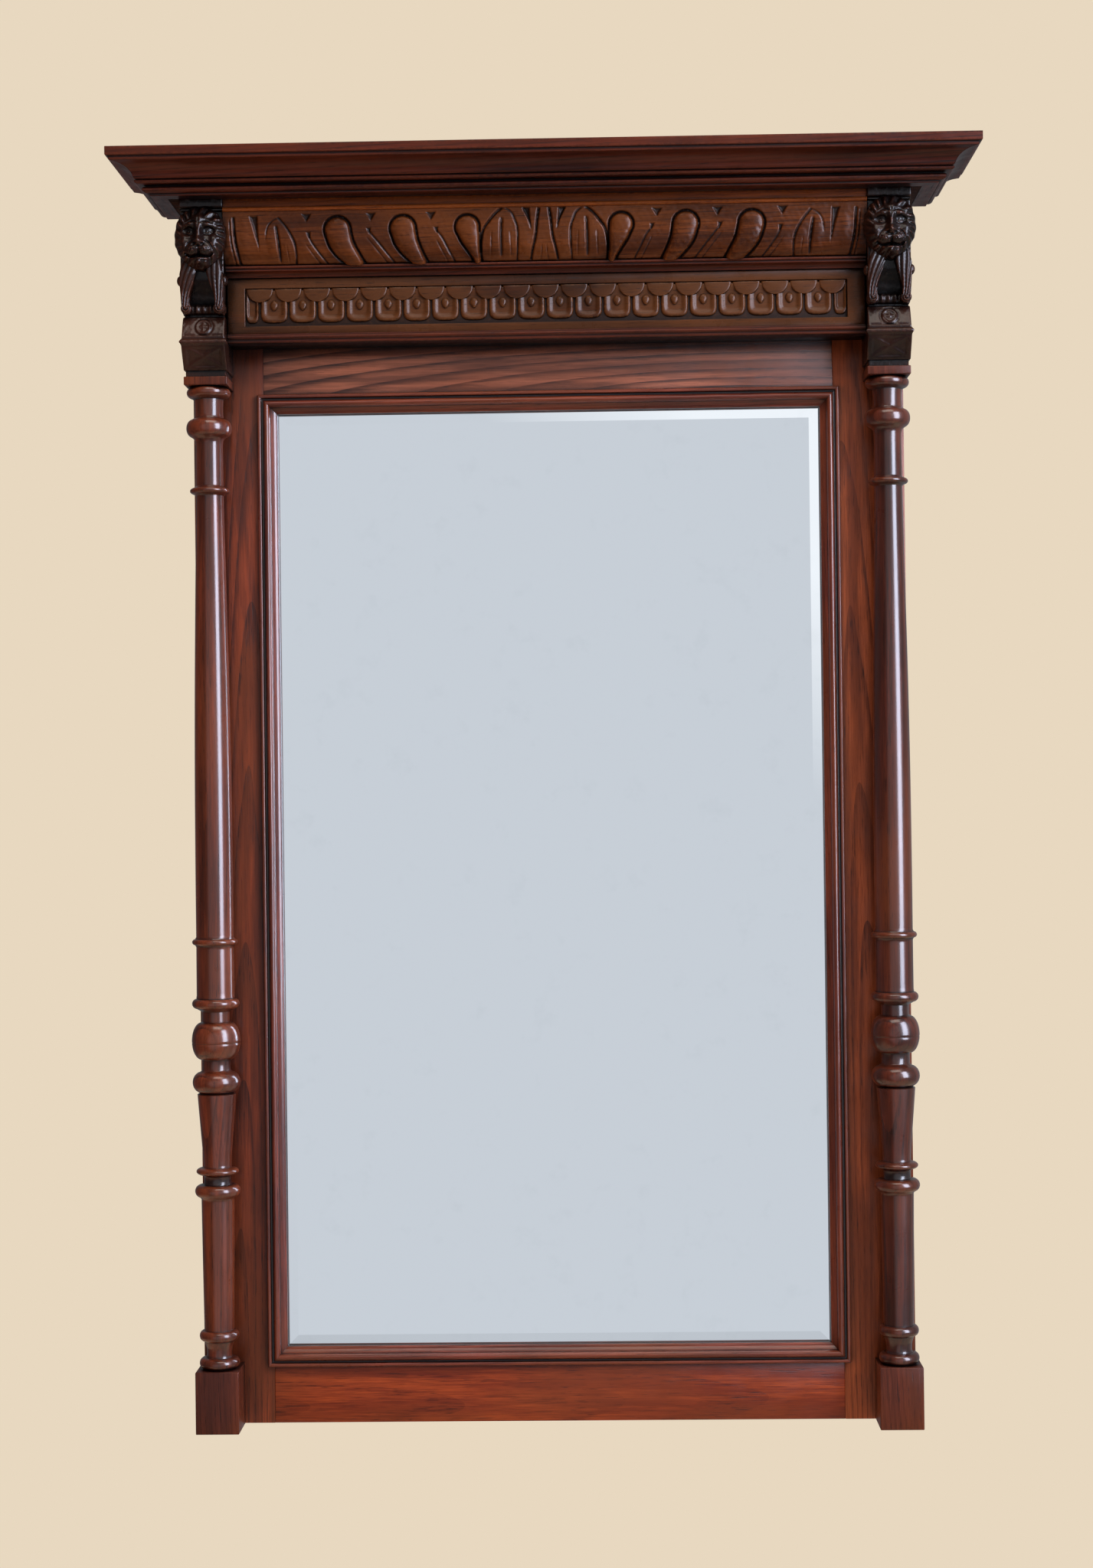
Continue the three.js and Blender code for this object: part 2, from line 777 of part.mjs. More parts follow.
const frontStrip = bar(corniceProfile, (out, up, end) => [
  (end ? 1 : -1) * (corniceBaseHalf + out - mitreGap),
  -corniceBaseFront - out,
  up,
]);
piece(entablature, 'cornice_front', frontStrip, 'cornice').position.z = bedLevel;
for (const [label, sign] of sides) {
  const strip = bar(corniceProfile, (out, up, end) => [
    sign * (corniceBaseHalf + out),
    end ? frameThickness : -corniceBaseFront - out + mitreGap,
    up,
  ]);
  piece(entablature, `cornice_return_${label}`, strip, 'cornice').position.z = bedLevel;
}

const bed = box([-bedHalf, -bedFront, bedLevel], [bedHalf, frameThickness, bedLevel + bedThickness]);
piece(entablature, 'cornice_bed_board', bed, 'inside');

const topInset = corniceProjection - topBoardSet - seat;
const topBoard = box(
  [-(corniceBaseHalf + topInset), -(corniceBaseFront + topInset), topLevel - topBoardThickness],
  [corniceBaseHalf + topInset, frameThickness, topLevel],
);
piece(entablature, 'cornice_top_board', topBoard, 'inside');

const backRail = box(
  [-bedHalf, frameThickness - backRailThickness, bedLevel + bedThickness],
  [bedHalf, frameThickness, topLevel - topBoardThickness],
);
piece(entablature, 'cornice_back_rail', backRail, 'inside');

export default part;
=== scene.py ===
"""Looks of a wall-hung pier mirror in carved and varnished oak.

A bevelled mirror plate in a moulded oak frame stands between two turned columns. The columns
carry brackets with carved animal masks, a scale-carved frieze, an ovolo carved with gadroons
and leaves, and a deep mitred cornice. Sizes in the classes are in millimetres, in the drawing's
own frame: x across, y from the front face of the frame (minus towards the viewer), z up from
the foot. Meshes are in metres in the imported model's frame, whose origin is the middle of the
back, in the plane of the wall.
"""

import logging
import math
from dataclasses import dataclass, field
from enum import Enum
from typing import Any, Callable, ClassVar, Sequence

import bmesh
import bpy
import numpy as np
from mathutils import Euler, Matrix, Vector


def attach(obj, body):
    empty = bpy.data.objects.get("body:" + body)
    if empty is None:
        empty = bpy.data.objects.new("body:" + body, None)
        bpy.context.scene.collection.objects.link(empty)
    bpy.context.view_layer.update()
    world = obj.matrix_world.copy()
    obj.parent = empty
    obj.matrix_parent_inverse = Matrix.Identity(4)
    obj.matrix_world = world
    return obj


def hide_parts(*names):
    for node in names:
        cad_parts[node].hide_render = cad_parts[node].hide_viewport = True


logging.basicConfig(level=logging.INFO, format="%(message)s")
log = logging.getLogger("pier_mirror")
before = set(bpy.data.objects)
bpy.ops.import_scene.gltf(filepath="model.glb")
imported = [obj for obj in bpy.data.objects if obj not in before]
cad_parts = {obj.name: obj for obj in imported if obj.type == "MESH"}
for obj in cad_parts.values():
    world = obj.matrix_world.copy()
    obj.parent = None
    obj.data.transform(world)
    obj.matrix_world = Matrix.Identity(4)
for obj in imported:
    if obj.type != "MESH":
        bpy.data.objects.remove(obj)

FACE_TO_WALL = 24.0
MIDDLE_HEIGHT = 820.0
SIDES = {"left": -1.0, "right": 1.0}

Array = np.ndarray
Mesh = bpy.types.Mesh
Node = bpy.types.Node
Socket = bpy.types.NodeSocket
Named = dict[str, Any]
Point2 = tuple[float, float]
Point3 = tuple[float, float, float]


# ------------------------------------------------------------------ drawing


def to_row(points: Any) -> Array:
    """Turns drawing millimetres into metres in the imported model's frame."""
    return (np.asarray(points, float) - (0.0, FACE_TO_WALL, MIDDLE_HEIGHT)) * 0.001


def round_angles(count: int) -> Array:
    """Even angles round a full turn."""
    return np.linspace(0, math.tau, count + 1)[:-1]


def arc(a: float, b: float, ra: float, rb: float, start: float, end: float, steps: int = 14) -> list[Point2]:
    """Points on an arc round (a, b) with the radii ra and rb, from one angle in degrees to another."""
    angles = np.radians(np.linspace(start, end, steps + 1))
    return [(a + ra * math.cos(t), b + rb * math.sin(t)) for t in angles]


def flow(points: Sequence[Point2], spacing: float = 2.0) -> list[Point2]:
    """Smooth curve through points, by Catmull-Rom.

    Args:
        points: Points that the curve passes.
        spacing: Distance between the points of the result.

    Returns:
        Points on the curve, the first and last point included.
    """
    p = np.array([points[0], *points, points[-1]], float)
    out: list[Point2] = []
    for a, b, c, d in zip(p, p[1:], p[2:], p[3:]):
        steps = max(2, int(np.linalg.norm(c - b) / spacing))
        for t in np.arange(steps) / steps:
            bend, twist = 2 * a - 5 * b + 4 * c - d, 3 * b - a - 3 * c + d
            out.append(tuple(0.5 * (2 * b + (c - a) * t + bend * t**2 + twist * t**3)))
    return [*out, tuple(p[-1])]


def ease(outline: Sequence[Point2], radius: float = 0.5, sharpest: float = 24.0) -> list[Point2]:
    """Rounds the sharp corners of a closed outline, as handling and sanding do.

    Args:
        outline: Corners of the closed outline, in order.
        radius: Distance from a corner at which the rounding starts.
        sharpest: A corner that turns less than this angle in degrees is kept.

    Returns:
        The outline with three points in place of each sharp corner.
    """
    p = np.array(outline, float)
    out: list[Point2] = []
    for before, here, after in zip(np.roll(p, 1, axis=0), p, np.roll(p, -1, axis=0)):
        u, v = before - here, after - here
        lu, lv = np.linalg.norm(u), np.linalg.norm(v)
        if math.degrees(math.acos(np.clip(-np.dot(u, v) / (lu * lv), -1, 1))) < sharpest:
            out.append(tuple(here))
            continue
        r = min(radius, 0.4 * lu, 0.4 * lv)
        first, last = here + u / lu * r, here + v / lv * r
        out += [tuple(first), tuple(here + (first + last - 2 * here) * 0.3), tuple(last)]
    return out


def even(outline: Sequence[Point2], longest: float = 1.6) -> list[Point2]:
    """Splits the long sides of a closed outline, so that the relief marks of rubbing, dust, painted shade and
    painted highlight stay near the corners.

    Args:
        outline: Corners of the closed outline, in order.
        longest: Sides of twice this length or more are split.

    Returns:
        The outline with the added points.
    """
    p = np.array(outline, float)
    out: list[Point2] = []
    for here, after in zip(p, np.roll(p, -1, axis=0)):
        steps = max(1, int(np.linalg.norm(after - here) / longest))
        out += [tuple(here + (after - here) * k / steps) for k in range(steps)]
    return out


def smoothstep(low: float, high: float, value: Any) -> Any:
    """Soft step from 0 below low to 1 above high."""
    t = np.clip((value - low) / (high - low), 0, 1)
    return t * t * (3 - 2 * t)


# ------------------------------------------------------------------ meshes and pieces


def read(items: Any, name: str, width: int) -> Array:
    """Reads one property of all vertices or edges of a mesh.

    Args:
        items: The vertices, edges or values of an attribute.
        name: Name of the property.
        width: Number of values that each item has.

    Returns:
        One row of values for each item.
    """
    values = np.empty(len(items) * width)
    items.foreach_get(name, values)
    return values.reshape(-1, width)


def corners(mesh: Mesh) -> tuple[Array, Array]:
    """Lowest and highest corner of a mesh's box."""
    place = read(mesh.vertices, "co", 3)
    return place.min(0), place.max(0)


def set_relief(mesh: Mesh, values: Array) -> None:
    """Writes the attribute "relief" of the vertices: above 0 in hollows and below 0 on ridges."""
    layer = mesh.attributes.get("relief") or mesh.attributes.new("relief", "FLOAT", "POINT")
    layer.data.foreach_set("value", np.clip(values, -1, 1).astype(np.float32))


def mark_relief(mesh: Mesh, reach: float, passes: int = 3) -> None:
    """Sets the relief attribute from how the surface bends.

    Args:
        mesh: Mesh in metres, with fairly even faces.
        reach: Size in millimetres of the hollows that count in full.
        passes: Number of times that the value is spread to the neighbours.
    """
    place, normal = read(mesh.vertices, "co", 3) * 1000, read(mesh.vertices, "normal", 3)
    a, b = read(mesh.edges, "vertices", 2).astype(int).T
    step = place[b] - place[a]
    length = np.linalg.norm(step, axis=1) + 1e-6

    def gather(at_a: Array, at_b: Array) -> Array:
        """Adds up what each vertex gets from the edges that meet there."""
        return np.bincount(a, at_a, len(place)) + np.bincount(b, at_b, len(place))

    bend_a, bend_b = (2 * np.einsum("ij,ij->i", step, normal[end]) / length**2 for end in (a, b))
    share = 1 / (length + 0.4)
    bend = gather(share * bend_a, -share * bend_b) / (gather(share, share) + 1e-9)
    value = np.clip(bend * reach, -1.5, 1.5)
    near = np.exp(-length / reach)
    for _ in range(passes):
        value = (value + gather(near * value[b], near * value[a])) / (1 + gather(near, near))
    set_relief(mesh, value)


def shade(mesh: Mesh, sharp: float) -> None:
    """Shades a mesh smooth, apart from the edges that turn more than an angle in degrees."""
    mesh.shade_smooth()
    mesh.set_sharp_from_angle(angle=math.radians(sharp))


def close_and_turn(mesh: Mesh) -> None:
    """Merges doubles, drops faces without area and turns the rest outwards.

    Args:
        mesh: The mesh, which is changed in place.
    """
    shape = bmesh.new()
    shape.from_mesh(mesh)
    bmesh.ops.remove_doubles(shape, verts=shape.verts, dist=4e-6)
    bmesh.ops.dissolve_degenerate(shape, edges=shape.edges, dist=1e-7)
    bmesh.ops.recalc_face_normals(shape, faces=shape.faces)
    shape.to_mesh(mesh)
    shape.free()
    mesh.update()


def link(name: str, data: Any) -> bpy.types.Object:
    """Makes an object of a mesh, a lamp or a camera and puts it in the scene."""
    made = bpy.data.objects.new(name, data)
    bpy.context.scene.collection.objects.link(made)
    return made


def settle(obj: bpy.types.Object) -> Mesh:
    """Turns an object with modifiers into a plain mesh and removes the object.

    Args:
        obj: The object.

    Returns:
        The mesh.
    """
    bpy.context.view_layer.update()
    graph = bpy.context.evaluated_depsgraph_get()
    mesh = bpy.data.meshes.new_from_object(obj.evaluated_get(graph))
    mesh.name = obj.name
    obj.modifiers.clear()
    bpy.data.objects.remove(obj)
    return mesh


def eased_copy(node: str, width: float, steps: int = 2) -> Mesh:
    """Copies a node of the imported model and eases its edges.

    Args:
        node: Name of the node.
        width: Width of the eased edge in millimetres.
        steps: Number of faces across the edge.

    Returns:
        A plain mesh with softened edges, inside the node's own box.
    """
    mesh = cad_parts[node].data.copy()
    box = corners(mesh)
    mesh.name = f"eased_{node}"
    mesh.materials.clear()
    shape = bmesh.new()
    shape.from_mesh(mesh)
    bmesh.ops.remove_doubles(shape, verts=shape.verts, dist=1e-5)
    flat = {"angle_limit": math.radians(0.6), "use_dissolve_boundaries": False}
    bmesh.ops.dissolve_limit(shape, verts=shape.verts, edges=shape.edges, **flat)
    shape.to_mesh(mesh)
    shape.free()
    stand_in = link(mesh.name, mesh)
    edge = stand_in.modifiers.new("Eased edges", "BEVEL")
    edge.width, edge.segments, edge.limit_method = width * 0.001, steps, "ANGLE"
    edge.angle_limit, edge.harden_normals = math.radians(38), False
    result = settle(stand_in)
    place = np.clip(read(result.vertices, "co", 3), *box)
    result.vertices.foreach_set("co", place.astype(np.float32).ravel())
    shade(result, 44)
    return result


def hand_over(name: str, mesh: Mesh, slot: str, finish: bpy.types.Material, *nodes: str) -> None:
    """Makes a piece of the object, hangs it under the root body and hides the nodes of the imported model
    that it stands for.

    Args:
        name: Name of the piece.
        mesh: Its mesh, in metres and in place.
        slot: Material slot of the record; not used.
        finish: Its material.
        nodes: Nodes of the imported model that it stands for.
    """
    mesh.name = name
    mesh.materials.clear()
    mesh.materials.append(finish)
    mesh.polygons.foreach_set("material_index", [0] * len(mesh.polygons))
    piece = link(name, mesh)
    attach(piece, "root")
    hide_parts(*nodes)
    log.info("%s: %d faces, %s", name, len(mesh.polygons), finish.name)


@dataclass
class Form:
    """Closed bodies in drawing millimetres, gathered for one mesh.

    Attributes:
        points: Arrays of vertices, one for each body.
        faces: Faces as indices into all vertices.
    """

    points: list[Array] = field(default_factory=list)
    faces: list[list[int]] = field(default_factory=list)

    def tube(self, rings: Any) -> "Form":
        """Adds a body skinned over closed rings, with a flat face at each end.

        Args:
            rings: Array of rings by points by three coordinates.

        Returns:
            The form itself.
        """
        rings = np.asarray(rings, float)
        index = sum(map(len, self.points)) + np.arange(rings[..., 0].size).reshape(rings.shape[:2])
        after = np.roll(index, -1, axis=1)
        sides = np.stack([index[:-1], after[:-1], after[1:], index[1:]], axis=-1)
        self.faces += [*sides.reshape(-1, 4).tolist(), index[0][::-1].tolist(), index[-1].tolist()]
        self.points.append(rings.reshape(-1, 3))
        return self

    def bar(self, profile: Sequence[Point2], place: Callable[[float, float, int], Sequence[float]]) -> "Form":
        """Adds a bar of one profile, for which place gives a section point's place at end 0 or end 1."""
        return self.tube([[place(a, b, end) for a, b in profile] for end in (0, 1)])

    def dome(
        self,
        outline: Array,
        centre: Point2,
        height: Callable[[Array, Array, Array], Array],
        back: float,
        base: float = 0.0,
        rings: int = 14,
        squeeze: float | None = None,
    ) -> "Form":
        """Adds a body that rises towards the viewer inside an outline in x and z.

        Args:
            outline: Array of x and z on the rim.
            centre: The point in x and z where the rings meet.
            height: Gives the rise in front of the base from x, z and the share from centre to rim.
            back: y of the flat back.
            base: y from which the rise is measured.
            rings: Number of steps from the centre to the rim.
            squeeze: Half width to which the body narrows behind its rim, or None.

        Returns:
            The form itself.
        """
        middle = np.array(centre)
        layers = []
        for share in np.linspace(1e-4, 1, rings + 1):
            flat = middle + (outline - middle) * share
            rise = height(flat[:, 0], flat[:, 1], np.full(len(flat), share))
            layers.append(np.stack([flat[:, 0], base - rise, flat[:, 1]], axis=1))
        rim = layers[-1].copy()
        if squeeze is not None:
            rim[:, 0] = np.clip(rim[:, 0], middle[0] - squeeze, middle[0] + squeeze)
            layers.append(rim.copy())
        rim[:, 1] = back
        layers.append(rim)
        return self.tube(np.array(layers))

    def shift(self, x: float = 0.0, y: float = 0.0, z: float = 0.0) -> "Form":
        """Moves all bodies that are in the form by now."""
        self.points = [p + (x, y, z) for p in self.points]
        return self

    def bake(self, name: str, sharp: float, relief: float | None) -> Mesh:
        """Makes the mesh, closes its seams and turns its faces outwards.

        Args:
            name: Name of the mesh.
            sharp: Edges that turn more than this angle in degrees are shaded sharp.
            relief: Reach of the relief attribute in millimetres, or None for no attribute.

        Returns:
            The mesh, in metres.
        """
        mesh = bpy.data.meshes.new(name)
        mesh.from_pydata(to_row(np.concatenate(self.points)).tolist(), [], self.faces)
        close_and_turn(mesh)
        shade(mesh, sharp)
        if relief is not None:
            mark_relief(mesh, relief)
        return mesh

    def pattern(self, name: str, sharp: float, relief: float | None) -> bpy.types.Object:
        """Makes an object whose origin is the drawing's, to be repeated by a recipe."""
        return link(name, self.shift(y=FACE_TO_WALL, z=MIDDLE_HEIGHT).bake(name, sharp, relief))


# ------------------------------------------------------------------ nodes

MATH = "ShaderNodeMath"
VECTOR = "ShaderNodeVectorMath"
SPAN = "ShaderNodeMapRange"
MIX = "ShaderNodeMix"
TIMES = {"operation": "MULTIPLY"}
PLUS = {"operation": "ADD"}
MINUS = {"operation": "SUBTRACT"}
SOFT = {"interpolation_type": "SMOOTHSTEP"}
COLOURS = {"data_type": "RGBA"}


def linear(colour: str) -> tuple[float, float, float, float]:
    """Turns an sRGB hex colour into linear red, green, blue and alpha."""
    parts = [int(colour.lstrip("#")[i : i + 2], 16) / 255 for i in (0, 2, 4)]
    red, green, blue = (c / 12.92 if c <= 0.04045 else ((c + 0.055) / 1.055) ** 2.4 for c in parts)
    return red, green, blue, 1.0


class Nodes:
    """A node tree that is filled in step by step."""

    def __init__(self, tree: bpy.types.NodeTree) -> None:
        """Takes a tree and empties it."""
        self.tree = tree
        tree.nodes.clear()

    def add(self, kind: str, *values: Any, named: Named | None = None, **settings: Any) -> Node:
        """Adds a node with its settings, values and links.

        Args:
            kind: Type of the node.
            values: What the inputs that these settings leave in use take, in order.
            named: What other inputs take, by name.
            settings: Properties of the node itself.

        Returns:
            The node.
        """
        node = self.tree.nodes.new(kind)
        for key, value in settings.items():
            setattr(node, key, value)
        for socket, value in zip([socket for socket in node.inputs if socket.enabled], values):
            self.feed(socket, value)
        for key, value in (named or {}).items():
            self.feed(node.inputs[key], value)
        return node

    def feed(self, socket: Socket, value: Any) -> None:
        """Gives an input what it takes.

        Args:
            socket: The input.
            value: A value, a hex colour, an output, or a node for its first output in use.
        """
        if isinstance(value, Node):
            value = next(out for out in value.outputs if out.enabled)
        if isinstance(value, Socket):
            self.tree.links.new(value, socket)
        else:
            socket.default_value = linear(value) if isinstance(value, str) else value


class Recipe(Nodes):
    """A Geometry Nodes tree with named inputs that is run once and gives a plain mesh."""

    def __init__(self, name: str) -> None:
        """Starts an empty tree whose first input and only output are a geometry."""
        super().__init__(bpy.data.node_groups.new(name, "GeometryNodeTree"))
        self.tree.is_modifier = True
        for way in ("INPUT", "OUTPUT"):
            self.tree.interface.new_socket("Geometry", in_out=way, socket_type="NodeSocketGeometry")
        self.identifiers: dict[str, str] = {}
        self.start = self.add("NodeGroupInput")

    def ask(self, name: str, kind: str) -> Socket:
        """Adds a named input.

        Args:
            name: Name that a person reads on the modifier.
            kind: Type of the socket, such as Float.

        Returns:
            The socket inside the tree.
        """
        socket = self.tree.interface.new_socket(name, in_out="INPUT", socket_type=f"NodeSocket{kind}")
        self.identifiers[name] = socket.identifier
        return self.start.outputs[name]

    def close(self, geometry: Node) -> None:
        """Ends the tree with Realize Instances and Set Material."""
        real = self.add("GeometryNodeRealizeInstances", geometry)
        material = self.ask("Material", "Material")
        dressed = self.add("GeometryNodeSetMaterial", real, named={"Material": material})
        self.add("NodeGroupOutput", dressed)

    def run(self, name: str, seed: Mesh, values: dict[str, Any]) -> Mesh:
        """Runs the tree on a mesh, and removes the objects that it repeated.

        Args:
            name: Name of the resulting mesh.
            seed: Mesh that the tree starts from.
            values: Values of the named inputs.

        Returns:
            The plain mesh that the tree made.
        """
        carrier = link(name, seed)
        modifier = carrier.modifiers.new(self.tree.name, "NODES")
        modifier.node_group = self.tree
        for key, value in values.items():
            modifier[self.identifiers[key]] = value
        made = settle(carrier)
        for value in values.values():
            if isinstance(value, bpy.types.Object):
                bpy.data.objects.remove(value)
        return made


class Lathe(Recipe):
    """Turns a drawn outline round an upright axis."""

    def __init__(self) -> None:
        """Builds the tree: a grid whose columns take the places of the outline's points."""
        super().__init__("Turning on the lathe")
        add = self.add
        turns, rows = self.ask("Segments", "Int"), self.ask("Outline Points", "Int")
        axis = self.ask("Axis", "Vector")
        grid = add("GeometryNodeMeshGrid", 1.0, 1.0, add(MATH, turns, 1.0, **PLUS), rows)
        across, down, _ = add("ShaderNodeSeparateXYZ", add("GeometryNodeInputPosition")).outputs
        share = add(MATH, down, 0.5, **PLUS)
        level = add(MATH, share, add(MATH, rows, 1.0, **MINUS), **TIMES)
        nearest = add(MATH, level, operation="ROUND")
        drawn = self.start.outputs[0], add("GeometryNodeInputPosition"), nearest
        point = add("GeometryNodeSampleIndex", *drawn, data_type="FLOAT_VECTOR", domain="POINT")
        radius, _, height = add("ShaderNodeSeparateXYZ", point).outputs
        angle = add(MATH, across, math.tau, **TIMES)
        waves = [add(MATH, angle, operation=wave) for wave in ("COSINE", "SINE")]
        x, y = (add(MATH, radius, wave, **TIMES) for wave in waves)
        place = add(VECTOR, add("ShaderNodeCombineXYZ", x, y, height), axis, **PLUS)
        turned = add("GeometryNodeSetPosition", grid, named={"Position": place})
        self.close(add("GeometryNodeMergeByDistance", turned, named={"Distance": 2e-6}))


class Row(Recipe):
    """Sets copies of one carved tile in a row."""

    def __init__(self) -> None:
        """Builds the tree: a line of points with a tile on each, a little taller or lower than drawn."""
        super().__init__("Row of tiles")
        count, first, step = self.ask("Count", "Int"), self.ask("First", "Vector"), self.ask("Step", "Vector")
        line = self.add("GeometryNodeMeshLine", count, first, step, mode="OFFSET")
        tile = self.add("GeometryNodeObjectInfo", self.ask("Tile", "Object")).outputs["Geometry"]
        tall = self.add("FunctionNodeRandomValue", 0.96, 1.03, named={"Seed": 7}, data_type="FLOAT")
        size = self.add("ShaderNodeCombineXYZ", 1.0, tall, 1.0)
        self.close(self.add("GeometryNodeInstanceOnPoints", line, named={"Instance": tile, "Scale": size}))


class Fixings(Recipe):
    """Sets one fixing on each point of the seed mesh."""

    def __init__(self) -> None:
        """Builds the tree: a fixing on each point, each turned by its own amount."""
        super().__init__("Fixings on points")
        fixing = self.add("GeometryNodeObjectInfo", self.ask("Fixing", "Object")).outputs["Geometry"]
        turn = self.add("FunctionNodeRandomValue", 0.0, math.pi, named={"Seed": 3}, data_type="FLOAT")
        angle = self.add("FunctionNodeEulerToRotation", self.add("ShaderNodeCombineXYZ", 0.0, turn, 0.0))
        copies = {"Instance": fixing, "Rotation": angle}
        self.close(self.add("GeometryNodeInstanceOnPoints", self.start.outputs[0], named=copies))


# ------------------------------------------------------------------ finishes


class Grain(Enum):
    """The way that the grain runs in a piece."""

    ACROSS = "X"
    DEEP = "Y"
    UPRIGHT = "Z"

    def stretch(self, amount: float) -> Point3:
        """Scale that draws a pattern out along the grain."""
        return tuple(1 / amount if axis == self.value else 1.0 for axis in "XYZ")


class Material(Nodes):
    """A node material that is filled in step by step."""

    def __init__(self, name: str) -> None:
        """Starts a material with a Principled shader."""
        self.data = bpy.data.materials.new(name)
        self.data.use_nodes = True
        super().__init__(self.data.node_tree)
        self.shader = self.add("ShaderNodeBsdfPrincipled")
        self.add("ShaderNodeOutputMaterial", self.shader)
        self.place = self.add("ShaderNodeTexCoord").outputs["Object"]

    def patches(
        self, size: float, stretch: Point3 = (1, 1, 1), detail: float = 3, rough: float = 0.55
    ) -> Node:
        """Soft patches of a real size.

        Args:
            size: Size of a patch in millimetres.
            stretch: Scale along x, y and z.
            detail: Number of finer layers.
            rough: Strength of the finer layers.

        Returns:
            A node that gives about 0.5, more in some patches and less in others.
        """
        mapped = self.add("ShaderNodeMapping", self.place, named={"Scale": stretch})
        return self.add("ShaderNodeTexNoise", mapped, 1000 / size, detail, rough)

    def rings(self, grain: Grain, spacing: float, long: float, lie: Named, stray: Named) -> Socket:
        """Growth rings round an axis along the grain.

        Args:
            grain: The way that the grain runs.
            spacing: Spacing of the rings in millimetres.
            long: How far their waves are drawn out along the grain.
            lie: How the log lies, as Location and Rotation.
            stray: How the rings stray from circles, as inputs of the wave.

        Returns:
            A socket that rises from 0 to 1 over each ring.
        """
        turned = self.add("ShaderNodeMapping", self.place, named=lie)
        drawn = self.add("ShaderNodeMapping", turned, named={"Scale": grain.stretch(long)})
        inputs = {"Vector": drawn, "Scale": math.tau / (20 * spacing * 0.001), "Detail": 2.0, **stray}
        bands = {"wave_type": "RINGS", "rings_direction": grain.value, "wave_profile": "SAW"}
        return self.add("ShaderNodeTexWave", named=inputs, **bands).outputs["Fac"]

    def dress(self, named: Named) -> bpy.types.Material:
        """Gives the shader its inputs.

        Args:
            named: What each input takes, by name.

        Returns:
            The finished material.
        """
        for name, value in named.items():
            self.feed(self.shader.inputs[name], value)
        return self.data


